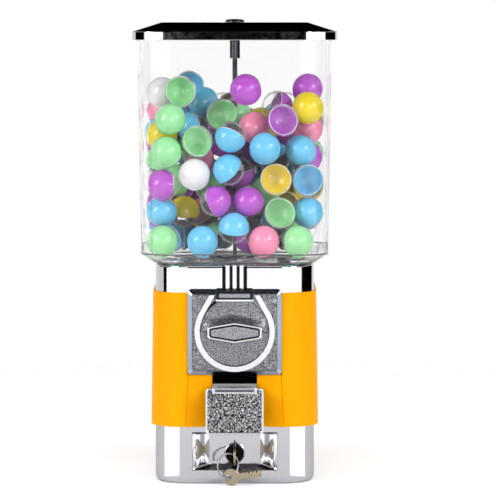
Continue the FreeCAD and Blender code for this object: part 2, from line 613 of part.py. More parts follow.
def make_coin_front():
    """Coin plate with its horseshoe rim, coin hood and corner screw."""
    plate = new_body("plate_body")
    middle = "(mech_low + mech_top) / 2"
    height = "mech_top - mech_low"
    steps = (("mech_back", "0"), ("mech_face - mech_bevel", "0"), ("mech_face", "mech_bevel"))
    faces = [rounded(plate, f"plate_face_{number}", "XZ_Plane", f"2 * (mech_half - {inset})",
                     f"{height} - 2 * {inset}", "4", depth, middle)
             for number, (depth, inset) in enumerate(steps)]
    loft(plate, "AdditiveLoft", faces)
    well = on_shaft("plate_well", "dial_recess", "mech_face + 1", "dial_floor")
    bore = on_shaft("plate_bore", "shaft_radius + running_gap", "mech_face", "mech_back - 1")
    threads = [cylinder(f"plate_thread_{number}", "1.55",
                        (f"{side_x} * mech_screw_x", "-mech_back - 3.6",
                         f"mech_height + {side_z} * mech_screw_z"),
                        "5", "Y")
               for number, (side_x, side_z) in enumerate(((1, 1), (-1, 1), (-1, -1), (1, -1)))]
    keep(cut("coin_plate", plate, [well, bore] + threads), "coin_plate")

    outer = on_shaft("rim_outer", "ring_radius", "ring_face", "mech_face")
    lean = SIZES["ring_lean"]
    across, up = math.cos(math.radians(lean)), math.sin(math.radians(lean))
    gap = box("rim_gap",
              (f"-{across} * dial_recess - 1", "-ring_face - 1", f"mech_height + {up} * dial_recess"),
              (f"{across} * dial_recess + 1", "-mech_face + 1", "mech_height + 50"))
    legs = []
    outside, within = "(ring_radius - leg_step)", "(dial_recess + leg_step)"
    for name, side, near in (("left", -1, outside), ("right", 1, within)):
        leg = box(f"rim_leg_{name}", (within, "-ring_face", "0"),
                  (outside, "-mech_face", "ring_leg + leg_root"))
        place(leg, (f"{side * across} * {near} + {side * up} * leg_root", "-ring_face",
                    f"mech_height + {up} * {near} - {across} * leg_root"),
              Rotation(Vector(0, 1, 0), -side * lean))
        legs.append(leg)
    trim = box("rim_trim", ("-mech_half", "-ring_face - 1", "ring_leg_top"),
               ("mech_half", "-mech_face + 1", "ring_leg_top + ring_leg"))
    inside = on_shaft("rim_inside", "dial_recess", "ring_face + 1", "mech_face - 1")
    horseshoe = fuse("rim_blank", [cut("rim_arc", outer, [gap])] + legs)
    keep(cut("coin_rim", horseshoe, [inside, trim]), "coin_rim")

    block = box("hood_block", ("-hood_half", "-hood_face", "hood_low"),
                ("hood_half", "-mech_face", "mech_top - 0.1"))
    slot = box("hood_slot", ("-slot_half", "-dial_face - 0.4 - slot_gap", "hood_low - 1"),
               ("slot_half", "-dial_face - 0.4", "mech_top + 1"))
    sweep = on_shaft("hood_dial_room", "dial_recess", "dial_face + 0.4", "mech_face - 1")
    keep(cut("coin_hood", block, [slot, sweep]), "coin_hood")
    keep(cone("corner_screw", "2", "1.2", ("40", "-mech_face - 1", "185.3"), "1", "Y"), "corner_screw")


def make_handle():
    """Dial, grip, shaft, coin carrier, ratchet and nut, which turn as one."""
    disc = on_shaft("dial_disc", "dial_radius", "dial_face", "dial_floor + 0.3")
    bore = on_shaft("dial_bore", "shaft_radius + 0.02", "dial_face + 1", "dial_floor")
    keep(cut("coin_dial", disc, [bore]), "coin_dial")

    grip = new_body("grip_body")
    sections = []
    for number, (depth, inset) in enumerate((("dial_face", "0"), ("grip_face - 1.6", "0.3"),
                                             ("grip_face", "1.6"))):
        long, mid, end = f"grip_half - {inset}", f"grip_mid - {inset}", f"grip_end - {inset} / 2"
        corners = ((f"-({long})", f"-({end})"), ("0", f"-({mid})"), (long, f"-({end})"),
                   (long, end), ("0", mid), (f"-({long})", end))
        sections.append(outline(grip, f"grip_section_{number}", "XZ_Plane", corners, depth))
    loft(grip, "AdditiveLoft", sections)
    dished = (("-grip_half + 4", "-grip_end + 2.6"), ("0", "-grip_mid + 3"),
              ("grip_half - 4", "-grip_end + 2.6"),
              ("grip_half - 4", "grip_end - 2.6"), ("0", "grip_mid - 3"),
              ("-grip_half + 4", "grip_end - 2.6"))
    dish = outline(grip, "grip_dish", "XZ_Plane", dished, "grip_face - 1.2")
    pocket(grip, dish, "2", Reversed=True)
    place(grip, ("0", "0", "mech_height"))
    keep(grip, "dial_grip")

    keep(on_shaft("handle_shaft", "shaft_radius", "dial_face - 0.1", "58.4"), "handle_shaft")

    wheel = on_shaft("carrier_disc", "30", "79.4", "75.4")
    wheel_bore = on_shaft("carrier_bore", "shaft_radius + 0.02", "80", "75")
    seat = cylinder("carrier_seat", "12.4", ("0", "-80", "mech_height + 19"), "6", "Y")
    mouth = box("carrier_mouth", ("-12.4", "-80", "mech_height + 19"), ("12.4", "-75", "mech_height + 32"))
    keep(cut("coin_carrier", wheel, [wheel_bore, seat, mouth]), "coin_carrier")

    ratchet = new_body("ratchet_body")
    blank = circle(ratchet, "ratchet_blank", "XZ_Plane", "ratchet_radius - 3.4", "73")
    pad(ratchet, blank, "1.9")
    tooth = outline(ratchet, "ratchet_tooth", "XZ_Plane",
                    (("-4.2", "ratchet_radius - 4.6"), ("0.3", "ratchet_radius - 4.6"),
                     ("0.3", "ratchet_radius"),
                     ("-0.5", "ratchet_radius")), "73")
    tooth_pad = pad(ratchet, tooth, "1.9")
    around(ratchet, tooth_pad, (blank, ["N_Axis"]), "ratchet_teeth")
    hole = circle(ratchet, "ratchet_bore", "XZ_Plane", "shaft_radius + 0.02", "72.5")
    pocket(ratchet, hole, "3", Reversed=True)
    place(ratchet, ("0", "0", "mech_height"))
    keep(ratchet, "ratchet_wheel")

    blank_nut = hexagon("shaft_nut_blank", "6.5", ("0", "-62.2", "mech_height"), "3.2", "Y")
    thread = on_shaft("shaft_nut_bore", "shaft_radius + 0.02", "63", "58")
    keep(cut("shaft_nut", blank_nut, [thread]), "shaft_nut")


def make_mech_frame():
    """Fixed frame behind the coin plate: cup, bracket, pins, screws, pawl and the coin slide."""
    cup = on_shaft("cup_outer", "cup_radius", "mech_back - 0.05", "cup_back")
    room = on_shaft("cup_room", "cup_radius - cup_wall", "mech_back + 1", "cup_back + 1.6")
    bore = on_shaft("cup_bore", "shaft_radius + 0.3", "mech_back", "cup_back - 1")
    drop = box("cup_drop", ("-15.5", "-mech_back", "mech_height - 40"),
               ("15.5", "-cup_back - 1.6", "mech_height - 26"))
    keep(cut("mech_housing", cup, [room, bore, drop]), "mech_housing")

    plate = box("bracket_plate", ("-bracket_half", "-cup_back", "117"),
                ("bracket_half", "-bracket_back", "190"))
    shaft_hole = on_shaft("bracket_bore", "shaft_radius + running_gap", "mech_back", "bracket_back - 1")
    pin_hole = cylinder("bracket_pin_hole", "idler_pin_radius + 0.02",
                        ("0", "-cup_back - 1", IDLER_HEIGHT), "4", "Y")
    corners = list(enumerate(((1, 1), (-1, 1), (-1, -1), (1, -1))))
    screw_holes = [cylinder(f"bracket_screw_hole_{number}", "1.7",
                            (f"{side_x} * mech_screw_x", "-cup_back - 1",
                             f"mech_height + {side_z} * mech_screw_z"), "4", "Y")
                   for number, (side_x, side_z) in corners]
    keep(cut("mech_bracket", plate, [shaft_hole, pin_hole] + screw_holes), "mech_bracket")

    screws = []
    for number, (side_x, side_z) in corners:
        across, up = f"{side_x} * mech_screw_x", f"mech_height + {side_z} * mech_screw_z"
        stem = cylinder(f"mech_screw_stem_{number}", "1.5", (across, "-mech_back - 3.4", up), "14.4", "Y")
        head = cylinder(f"mech_screw_head_{number}", "2.8", (across, "-bracket_back", up), "1.8", "Y")
        screws.append(fuse(f"mech_screw_{number}", [stem, head]))
    keep(group("mech_screws", screws), "mech_screws")

    stud = cylinder("idler_stud", "idler_pin_radius", ("0", "-cup_back", IDLER_HEIGHT), "10", "Y")
    clip = cylinder("idler_clip", "idler_pin_radius + 1.5", ("0", "-gear_back + 0.3", IDLER_HEIGHT), "1.2",
                    "Y")
    keep(fuse("idler_pin", [stud, clip]), "idler_pin")

    keep(cylinder("pawl_pin", "1.5", ("26", "-75.2", "mech_height + 15"), "75.2 - cup_back - 1.6", "Y"),
         "pawl_pin")
    pawl = new_body("pawl_body")
    lever = outline(pawl, "pawl_lever", "XZ_Plane",
                    (("-2.6", "2.4"), ("2.4", "2.4"), ("2.6", "-2.2"), ("-1.2", "-13.2"), ("-3", "-12.6")),
                    "73")
    pad(pawl, lever, "1.9")
    eye = circle(pawl, "pawl_eye", "XZ_Plane", "1.5 + running_gap", "72.5")
    pocket(pawl, eye, "3", Reversed=True)
    place(pawl, ("26", "0", "mech_height + 15"))
    keep(pawl, "pawl")

    slide = new_body("slide_body")
    ramp = outline(slide, "slide_ramp", "XZ_Plane",
                   (("-17", "115.2"), ("-17", "113.9"), ("24.5", "106"), ("24.5", "107.3")), "72.8")
    pad(slide, ramp, "6.2")
    fall = outline(slide, "slide_fall", "YZ_Plane",
                   (("-79.2", "107.3"), ("-79.2", "106"), ("-41", "75"), ("-41", "76.6")), "24")
    pad(slide, fall, "16.5")
    inner_wall = outline(slide, "slide_inner_wall", "YZ_Plane",
                         (("-79", "107.3"), ("-79", "105.6"), ("-41", "75"), ("-41", "88"),
                          ("-72.8", "107.3")), "22.8")
    pad(slide, inner_wall, "1.4")
    outer_wall = outline(slide, "slide_outer_wall", "YZ_Plane",
                         (("-79.2", "106"), ("-79.2", "119"), ("-71", "119"), ("-71", "112"), ("-41", "90"),
                          ("-41", "75")), "40")
    pad(slide, outer_wall, "1.2")
    keep(slide, "coin_slide")


def make_drawer():
    """Cash drawer: recessed front, open tray behind it and the lock with its nut."""
    front = new_body("front_body")
    face = rounded(front, "front_outline", "XZ_Plane", "2 * drawer_half", "drawer_top - drawer_low", "3",
                   "drawer_back", "(drawer_top + drawer_low) / 2")
    pad(front, face, "drawer_face - drawer_back")
    rim = (("-drawer_half + 4", "drawer_low + 3"), ("drawer_half - 4", "drawer_low + 3"),
           ("drawer_half - 4", "drawer_top - 2"), ("-drawer_half + 4", "drawer_top - 2"))
    deep = (("-panel_half", "drawer_low + 4.8"), ("panel_half", "drawer_low + 4.8"),
            ("panel_half", "drawer_top - 2.2"), ("-panel_half", "drawer_top - 2.2"))
    mouth = outline(front, "front_mouth", "XZ_Plane", rim, "drawer_face")
    floor = outline(front, "front_floor", "XZ_Plane", deep, "drawer_panel")
    loft(front, "SubtractiveLoft", [mouth, floor])
    lock_hole = circle(front, "front_lock_hole", "XZ_Plane", "lock_radius + 0.03", "drawer_back - 1",
                       ("0", "lock_height"))
    pocket(front, lock_hole, "drawer_panel - drawer_back + 2", Reversed=True)
    keep(front, "drawer_front")

    tray = box("tray_block", ("-tray_half", "-drawer_back", "tray_low"),
               ("tray_half", "tray_end", "tray_low + tray_height"))
    room = box("tray_room", ("-tray_half + 1.5", "-drawer_back - 1", "tray_low + 1.5"),
               ("tray_half - 1.5", "tray_end - 1.5", "tray_low + tray_height + 1"))
    keep(cut("drawer_tray", tray, [room]), "drawer_tray")

    barrel = on_lock("lock_body", "lock_radius", "drawer_panel + 0.5", "44")
    bezel = cone("lock_bezel", "bezel_radius - 1.2", "bezel_radius",
                 ("0", "-drawer_panel - 3.5", "lock_height"),
                 "3.5", "Y")
    bore = on_lock("lock_bore", "plug_radius + running_gap", "72", "43")
    keep(cut("lock_barrel", fuse("lock_blank", [barrel, bezel]), [bore]), "lock_barrel")
    blank = hexagon("lock_nut_blank", "12", ("0", "-drawer_back", "lock_height"), "3.5", "Y")
    thread = on_lock("lock_nut_bore", "lock_radius + 0.03", "63", "58")
    keep(cut("lock_nut", blank, [thread]), "lock_nut")


def on_lock(name, radius, front, back):
    """Round bar on the lock's line between two distances in front of the centre."""
    return cylinder(name, radius, ("0", f"-({front})", "lock_height"), f"({front}) - ({back})", "Y")


def key_blank(name, bow_radius, bow_hole, hole_shift, reach):
    """Flat key about its bow hole: the bow, the hole and a notched blade along +X, thickness in Z."""
    bow = cylinder(f"{name}_bow", bow_radius, (hole_shift, "0", "-key_thick / 2"), "key_thick")
    blade = box(f"{name}_blade", (hole_shift, "-3.2", "-key_thick / 2"), (reach, "3.2", "key_thick / 2"))
    notches = [box(f"{name}_notch_{number}", (f"{reach} - {place_back}", "1.6", "-key_thick"),
                   (f"{reach} - {place_back} + 2", "4", "key_thick"))
               for number, place_back in enumerate((5, 9, 13, 17))]
    hole = cylinder(f"{name}_hole", bow_hole, ("0", "0", "-key_thick"), "2 * key_thick")
    return cut(f"{name}_flat", fuse(f"{name}_outline", [bow, blade]), [hole] + notches)


def make_lock():
    """Lock plug, cam and key, with the ring and the spare key that hang from the bow."""
    plug = on_lock("plug_round", "plug_radius", "drawer_panel + 3.8", "43.8")
    slot = box("plug_slot", ("-key_thick / 2 - 0.1", "-71", "lock_height - 3.4"),
               ("key_thick / 2 + 0.1", "-49", "lock_height + 3.4"))
    tap = on_lock("plug_tap", "1.85", "48", "43")
    keep(cut("lock_plug", plug, [slot, tap]), "lock_plug")
    arm = box("cam_arm", ("-28", "-43.8", "lock_height - 4"), ("4.5", "-42.3", "lock_height + 4"))
    eye = on_lock("cam_eye", "1.9", "45", "41")
    keep(cut("lock_cam", arm, [eye]), "lock_cam")
    stem = on_lock("cam_stem", "1.8", "47.6", "42.3")
    head = on_lock("cam_head", "3.4", "42.3", "40.4")
    keep(fuse("cam_screw", [stem, head]), "cam_screw")

    ring_y = "-88.8"
    upright = Rotation(Vector(0, 0, 1), 90).multiply(Rotation(Vector(1, 0, 0), 90))
    key = key_blank("door_key", "bow_radius", "bow_hole", "4.8", "38")
    place(key, ("0", ring_y, "lock_height"), upright)
    keep(key, "drawer_key")

    # The wire leans so that it runs free through both bows, at rest and when the key is turned
    hang = (-0.5559, -0.337, -0.7599)
    eye = ("0", ring_y, "lock_height")
    ring = doc.addObject("Part::Torus", "key_ring_wire")
    tie(ring, "Radius1", "key_ring")
    tie(ring, "Radius2", "ring_wire")
    middle = [f"{start} + {share} * key_ring" for start, share in zip(eye, hang)]
    place(ring, middle, Rotation(Vector(0, 0, 1), Vector(0.5185, -0.8552, 0)))
    keep(ring, "key_ring")
    spare = key_blank("spare", "8.5", "3.5", "3.4", "34")
    flat = Rotation(Vector(0, 0, 1), -10).multiply(Rotation(Vector(0, 1, 0), -8))
    flat = flat.multiply(Rotation(Vector(1, 0, 0), 90))
    place(spare, (middle[0], middle[1], f"{middle[2]} - key_ring"), flat)
    keep(spare, "spare_key")


# Capsules against the front wall: across, height, colour, and where the coloured half points.
# Pointing is across, toward the back, up.
FRONT_CAPSULES = (
    (-72, 243, "mint", (-0.3, -1, 0.2)), (-32, 243, "blue", (0.2, -1, 0.3)),
    (29, 243, "pink", (-0.3, -1, 0.4)), (63, 243, "mint", (0.5, -1, 0.1)),
    (-1, 256, "blue", (0.1, -0.4, 1)), (-73, 272, "blue", (-0.2, -1, -0.5)),
    (-51, 270, "yellow", (0.1, -0.3, 1)), (-19, 283, "purple", (1, -0.6, 0.4)),
    (14, 283, "purple", (-0.2, -0.9, -0.5)), (45, 271, "mint", (0.3, 1, 0.2)),
    (73, 271, "blue", (0.2, -1, -0.4)), (-71, 299, "purple", (-0.8, -0.7, 0.1)),
    (-40, 310, "white", (0.2, -1, 0.3)), (-6, 314, "blue", (-0.6, -0.4, 0.6)),
    (41, 305, "yellow", (0.1, 1, 0.1)), (73, 304, "blue", (0.3, 1, -0.2)),
    (-68, 332, "mint", (-0.2, -1, 0.5)), (-37, 343, "mint", (-0.5, 1, -0.3)),
    (-4, 347, "blue", (-0.4, -0.5, -0.8)), (30, 336, "blue", (-0.2, -1, 0.1)),
    (66, 333, "blue", (-0.2, -1, -0.2)), (-64, 365, "mint", (0.4, -0.9, -0.3)),
    (-13, 369, "mint", (0.3, 1, -0.3)), (48, 364, "purple", (-0.4, 1, -0.2)),
    (73, 354, "pink", (-0.2, -1, 0.3)), (-73, 348, "yellow", (-0.2, -1, 0.1)),
    (73, 325, "purple", (0.3, -1, 0.1)), (19, 356, "pink", (0.1, -1, -0.2)),
)
# Capsules that show above the front row, given the same way.
TOP_CAPSULES = (
    (14, 377, "purple", (0.2, 1, -0.4)), (33, 376, "purple", (-0.3, 1, -0.3)),
    (73, 376, "yellow", (0.1, -1, 0.1)), (-32, 380, "blue", (0.2, -1, 0.3)),
    (-54, 392, "mint", (-0.3, 1, -0.2)), (-73, 376, "purple", (-0.3, -1, 0.2)),
    (73, 394, "purple", (0.3, -1, -0.2)), (-73, 390, "white", (0.1, -1, 0.4)),
    (-47, 396, "blue", (0.2, 1, -0.4)), (11, 394, "purple", (0.1, -1, 0.4)),
    (-31, 394, "yellow", (0.2, 1, -0.2)),
)


def wall_room(across, back, height):
    """Distance from a point inside the canister to the nearest side wall."""
    rise = (height - SIZES["can_low"]) / (SIZES["can_top"] - SIZES["can_low"])
    width = SIZES["can_low_width"] + rise * (SIZES["can_top_width"] - SIZES["can_low_width"])
    half = width / 2 - SIZES["can_wall"]
    corner = SIZES["can_corner"] + 1
    over_x = abs(across) - (half - corner)
    over_y = abs(back) - (half - corner)
    outside = math.hypot(max(over_x, 0), max(over_y, 0))
    return corner - outside - min(max(over_x, over_y), 0)


def is_free(spot, others, reach):
    """True where a capsule at this spot clears the wall, the rod and the other capsules."""
    room = SIZES["capsule_radius"] + SIZES["capsule_gap"]
    if wall_room(*spot) < room or math.hypot(spot[0], spot[1]) < room + SIZES["collar_radius"]:
        return False
    return all(math.dist(spot, other) >= reach for other in others)


def resting_height(across, back, others, reach):
    """Height at which a capsule dropped here stops on the goods below."""
    height = SIZES["goods_floor"] + SIZES["capsule_radius"]
    for other in others:
        apart = math.hypot(across - other[0], back - other[1])
        if apart < reach:
            height = max(height, other[2] + math.sqrt(reach * reach - apart * apart) + 0.01)
    return height


def settle(across, back, others, reach):
    """Roll a dropped capsule downhill to a resting place, or return None where none is free."""
    best = None
    step = 8.0
    height = resting_height(across, back, others, reach)
    if is_free((across, back, height), others, reach):
        best = (across, back, height)
    while best is not None and step > 0.4:
        moves = [(best[0] + step * math.cos(turn * math.pi / 6),
                  best[1] + step * math.sin(turn * math.pi / 6))
                 for turn in range(12)]
        spots = [(move[0], move[1], resting_height(*move, others, reach)) for move in moves]
        lower = [spot for spot in spots if spot[2] < best[2] - 0.01 and is_free(spot, others, reach)]
        if lower:
            best = min(lower, key=lambda spot: spot[2])
        else:
            step /= 2
    return best


def put_by_hand(pile, listed, reach):
    """Add listed capsules to the pile, each as near the front wall as it fits."""
    for across, height, colour, pointing in listed:
        taken = [spot for spot, _, _ in pile]
        places = [(across, -76.5 + 0.5 * step, height) for step in range(200)]
        open_places = [spot for spot in places if is_free(spot, taken, reach)]
        if open_places:
            pile.append((open_places[0], colour, pointing))


def drop_in(pile, ceiling, chance, reach):
    """Drop capsules at chance places until no more fit under the ceiling."""
    colours = ("blue", "purple", "mint", "yellow", "pink", "purple", "blue", "mint")
    misses = 0
    while misses < 60:
        taken = [spot for spot, _, _ in pile]
        spot = settle(chance.uniform(-78, 78), chance.uniform(-78, 78), taken, reach)
        if spot is None or spot[2] > ceiling:
            misses += 1
            continue
        pointing = (chance.gauss(0, 1), chance.gauss(0, 1), chance.gauss(0, 1))
        pile.append((spot, chance.choice(colours), pointing))


def pile_up():
    """Places, colours and pointings of all capsules: what shows by hand, the rest dropped in."""
    chance = random.Random(11)
    reach = 2 * SIZES["capsule_radius"] + SIZES["capsule_gap"]
    pile = []
    put_by_hand(pile, FRONT_CAPSULES, reach)
    drop_in(pile, value("goods_top - 3.2 * capsule_radius"), chance, reach)
    put_by_hand(pile, TOP_CAPSULES, reach)
    drop_in(pile, value("goods_top - 2.2 * capsule_radius"), chance, reach)
    return pile


def make_capsules():
    """Two-part capsules: half shells in five colours, each closed by a clear half shell."""
    radius, wall, gap = SIZES["capsule_radius"], SIZES["capsule_wall"], SIZES["capsule_gap"]
    dome = Part.makeSphere(radius - gap / 2, Vector(), Vector(0, 0, 1), 0, 90, 360)
    hollow = Part.makeSphere(radius - gap / 2 - wall, Vector(), Vector(0, 0, 1), 0, 90, 360)
    half = dome.cut(hollow)
    half.translate(Vector(0, 0, gap / 2))
    shells = {name: [] for name in ("blue", "purple", "mint", "yellow", "pink", "clear")}
    for spot, colour, pointing in pile_up():
        aim = Rotation(Vector(0, 0, 1), Vector(*pointing))
        away = Rotation(Vector(0, 0, 1), Vector(*pointing) * -1)
        for name, turn in ((colour if colour in shells else "clear", aim), ("clear", away)):
            shell = half.copy()
            shell.Placement = Placement(Vector(*spot), turn).multiply(shell.Placement)
            shells[name].append(shell)
    for name, pieces in shells.items():
        item = doc.addObject("Part::Feature", f"capsules_{name}")
        item.Shape = Part.makeCompound(pieces)
        item.Placement = Placement()
        keep(item, f"capsules_{name}")
    print("capsules:", len(shells["clear"]))


def write_parts():
    """Check every object and sub-part, then write one file per sub-part."""
    doc.recompute()
    for item in doc.Objects:
        if "Invalid" in item.State or "Error" in item.State:
            raise RuntimeError(f"{item.Label} failed: {item.State}")
    os.makedirs("parts", exist_ok=True)
    for item in SUBPARTS:
        if item.Shape.isNull() or not item.Shape.isValid():
            raise RuntimeError(f"{item.Label} has no valid shape")
    for item in SUBPARTS:
        item.Shape.exportStep(f"parts/{item.Label}.step")
        room = item.Shape.BoundBox
        print(f"{item.Label}: {len(item.Shape.Solids)} solids, {item.Shape.Volume / 1000:.2f} cm3,",
              f"x {room.XMin:.1f} {room.XMax:.1f} y {room.YMin:.1f} {room.YMax:.1f}",
              f"z {room.ZMin:.1f} {room.ZMax:.1f}")


make_base()
make_body()
make_neck()
make_canister()
make_lid()
make_deck()
make_wheel()
make_rod()
make_gear("drive_pinion", "pinion_teeth", "mech_height", "shaft_radius + 0.02", True)
make_gear("idler_gear", "idler_teeth", IDLER_HEIGHT, "idler_pin_radius + running_gap", False)
make_chute()
make_coin_front()
make_handle()
make_mech_frame()
make_drawer()
make_lock()
make_capsules()
write_parts()
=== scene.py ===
"""Looks of a capsule vending machine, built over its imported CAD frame.

Sizes are in millimetres until a finished mesh is scaled to metres.
"""

import json
import logging
import math
from abc import ABC, abstractmethod
from dataclasses import dataclass
from enum import Enum
from functools import cached_property
from typing import Any, Iterable, Sequence

import bmesh
import bpy
import numpy as np
from mathutils import Matrix, Vector, noise

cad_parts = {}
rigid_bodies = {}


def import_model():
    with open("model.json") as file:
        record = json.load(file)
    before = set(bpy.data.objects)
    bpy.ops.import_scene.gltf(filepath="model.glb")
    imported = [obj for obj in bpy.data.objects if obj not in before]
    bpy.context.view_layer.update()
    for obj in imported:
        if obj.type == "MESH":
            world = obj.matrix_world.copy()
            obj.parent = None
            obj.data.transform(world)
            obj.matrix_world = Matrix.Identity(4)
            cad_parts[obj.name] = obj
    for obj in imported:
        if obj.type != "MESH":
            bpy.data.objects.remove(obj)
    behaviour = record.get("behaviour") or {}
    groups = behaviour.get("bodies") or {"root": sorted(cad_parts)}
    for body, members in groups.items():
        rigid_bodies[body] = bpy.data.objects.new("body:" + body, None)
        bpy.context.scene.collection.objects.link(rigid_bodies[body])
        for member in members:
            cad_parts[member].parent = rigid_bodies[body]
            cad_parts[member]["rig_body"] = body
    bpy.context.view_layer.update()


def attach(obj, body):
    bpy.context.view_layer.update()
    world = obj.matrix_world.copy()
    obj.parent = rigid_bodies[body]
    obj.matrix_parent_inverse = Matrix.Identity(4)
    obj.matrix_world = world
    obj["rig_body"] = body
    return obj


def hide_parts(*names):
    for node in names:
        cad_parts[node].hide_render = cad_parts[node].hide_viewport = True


LOG = logging.getLogger("capsule_machine")
METRES = 0.001
FRONT = Matrix.Rotation(math.radians(90), 4, "X")
Edges = list[bmesh.types.BMEdge]
Socket = bpy.types.NodeSocket
Pair = tuple[float, float]
Spot = tuple[float, float, float]


def linear(code: str) -> tuple[float, float, float, float]:
    """Turn an sRGB hex colour into the linear colour that a socket takes.

    Args:
        code: six hex digits.

    Returns:
        Linear red, green and blue, with an alpha of 1.
    """
    shares = [int(code[start:start + 2], 16) / 255 for start in (0, 2, 4)]
    red, green, blue = (s / 12.92 if s <= 0.04045 else ((s + 0.055) / 1.055) ** 2.4 for s in shares)
    return red, green, blue, 1.0


def scale_for(size: float) -> float:
    """Give the texture scale at which one feature of a pattern is size millimetres wide."""
    return 1 / (size * METRES)


def connect(tree: bpy.types.NodeTree, node: bpy.types.Node, inputs: dict[str | int, Any]) -> None:
    """Give a node's inputs their values and links.

    Args:
        tree: the material's or world's node tree.
        node: the node.
        inputs: a value, or another node's output socket, for each input.
    """
    for name, source in inputs.items():
        if isinstance(source, Socket):
            tree.links.new(source, node.inputs[name])
        else:
            node.inputs[name].default_value = source


def add_node(tree: bpy.types.NodeTree, kind: str, settings: dict[str, Any] | None = None,
             inputs: dict[str | int, Any] | None = None) -> bpy.types.Node:
    """Add one node with its settings, values and links.

    Args:
        tree: the material's or world's node tree.
        kind: Blender's name of the node's type.
        settings: the node's own properties.
        inputs: a value, or another node's output socket, for each input.

    Returns:
        The new node.
    """
    node = tree.nodes.new(kind)
    for name, setting in (settings or {}).items():
        setattr(node, name, setting)
    connect(tree, node, inputs or {})
    return node


class Recipe:
    """A node tree, with the few steps that the finishes share."""

    def __init__(self, tree: bpy.types.NodeTree) -> None:
        """Start on a material's or world's tree."""
        self.tree = tree

    @cached_property
    def shader(self) -> bpy.types.Node:
        """The tree's Principled node."""
        return self.tree.nodes["Principled BSDF"]

    @cached_property
    def spot(self) -> Socket:
        """Object coordinates."""
        return add_node(self.tree, "ShaderNodeTexCoord").outputs["Object"]

    @cached_property
    def rays(self) -> bpy.types.NodeOutputs:
        """What kind of ray looks."""
        return add_node(self.tree, "ShaderNodeLightPath").outputs

    @cached_property
    def grazing(self) -> Socket:
        """How edge-on the surface is seen."""
        return add_node(self.tree, "ShaderNodeLayerWeight", None, {"Blend": 0.5}).outputs["Facing"]

    def noise(self, size: float, detail: float = 2.0, rough: float = 0.5) -> Socket:
        """Give a noise whose features are size millimetres wide."""
        made = add_node(self.tree, "ShaderNodeTexNoise", None,
                        {"Vector": self.spot, "Scale": scale_for(size), "Detail": detail, "Roughness": rough})
        return made.outputs["Fac"]

    def tones(self, share: Socket, first: str, last: str) -> Socket:
        """Give a colour that runs from the first to the last as the share rises."""
        made = add_node(self.tree, "ShaderNodeMix", {"data_type": "RGBA"},
                        {"Factor": share, 6: linear(first), 7: linear(last)})
        return made.outputs[2]

    def spread(self, value: Socket, first: float, last: float, over: Pair = (0.0, 1.0),
               eased: bool = False) -> Socket:
        """Map a value onto a run of numbers.

        Args:
            value: what is mapped.
            first: the run's first number.
            last: its last number.
            over: the values at which the run starts and ends.
            eased: whether it starts and ends softly.

        Returns:
            The mapped number.
        """
        kind = "SMOOTHSTEP" if eased else "LINEAR"
        made = add_node(self.tree, "ShaderNodeMapRange", {"interpolation_type": kind},
                        {"Value": value, "From Min": over[0], "From Max": over[1],
                         "To Min": first, "To Max": last})
        return made.outputs[0]

    def relief(self, height: Socket, strength: float, depth: float) -> Socket:
        """Give the normal of a skin that a height raises by up to depth millimetres."""
        made = add_node(self.tree, "ShaderNodeBump", None,
                        {"Strength": strength, "Distance": depth * METRES, "Height": height})
        return made.outputs[0]

    def reckon(self, operation: str, first: Socket | float, second: Socket | float) -> Socket:
        """Work out one number from two."""
        made = add_node(self.tree, "ShaderNodeMath", {"operation": operation}, {0: first, 1: second})
        return made.outputs[0]

    def blend(self, share: Socket, first: Socket, second: Socket) -> Socket:
        """Give a mix of two shaders."""
        made = add_node(self.tree, "ShaderNodeMixShader", None, {"Fac": share, 1: first, 2: second})
        return made.outputs[0]

    def set_shader(self, inputs: dict[str, Any]) -> None:
        """Give the Principled node its values and links."""
        connect(self.tree, self.shader, inputs)

    def set_output(self, shader: Socket) -> None:
        """Send another shader to the material's output."""
        self.tree.links.new(shader, self.tree.nodes["Material Output"].inputs["Surface"])


def new_material(name: str) -> bpy.types.Material:
    """Make a material with nodes."""
    made = bpy.data.materials.new(name)
    made.use_nodes = True
    return made


@dataclass(frozen=True)
class Finish(ABC):
    """One surface finish, named for the real material and the record's slot."""

    name: str
    slot: str

    @abstractmethod
    def shade(self, mix: Recipe) -> None:
        """Set the material's nodes up.

        Args:
            mix: the material's tree.
        """

    def material(self) -> bpy.types.Material:
        """Give the finish's material, made on first use."""
        made = bpy.data.materials.get(self.name)
        if made is None:
            made = new_material(self.name)
            self.shade(Recipe(made.node_tree))
        return made


@dataclass(frozen=True)
class PlatedMetal(Finish):
    """Smooth plated or turned metal: a mirror with faint wipe marks and a slight wave."""

    light: str
    dark: str
    rough: float
    rough_spread: float = 0.06
    wave: float = 26.0
    mark: float = 5.0
    wave_depth: float = 0.02
    wave_strength: float = 0.3

    def shade(self, mix: Recipe) -> None:
        """Mirror metal whose sheen and height wander a little."""
        marks = mix.noise(self.mark, detail=4.0)
        mix.set_shader({
            "Metallic": 1.0,
            "Base Color": mix.tones(marks, self.light, self.dark),
            "Roughness": mix.spread(marks, self.rough, self.rough + self.rough_spread, (0.3, 0.7)),
            "Normal": mix.relief(mix.noise(self.wave), self.wave_strength, self.wave_depth),
        })


@dataclass(frozen=True)
class PebbledCasting(Finish):
    """Die casting with a pebbled field, coloured by the pebbles' height: lighter tops and dark pits painted
    as shade.
    """

    light: str
    dark: str
    rough: float
    grain: float
    depth: float
    low: float
    high: float
    pit_rough: float = 0.2
    relief_strength: float = 0.8

    def shade(self, mix: Recipe) -> None:
        """Colour follows the pebble noise that also sinks the bump: pits painted dark as shade, tops lighter.
        """
        pebble = mix.noise(self.grain, detail=3.0, rough=0.55)
        # Painted shade: the low pits of the pebble noise take the dark colour.
        share = mix.spread(pebble, 0.0, 1.0, (self.low, self.high), eased=True)
        mix.set_shader({
            "Metallic": 1.0,
            "Base Color": mix.tones(share, self.dark, self.light),
            "Roughness": mix.spread(share, self.rough + self.pit_rough, self.rough),
            "Normal": mix.relief(pebble, self.relief_strength, self.depth),
        })


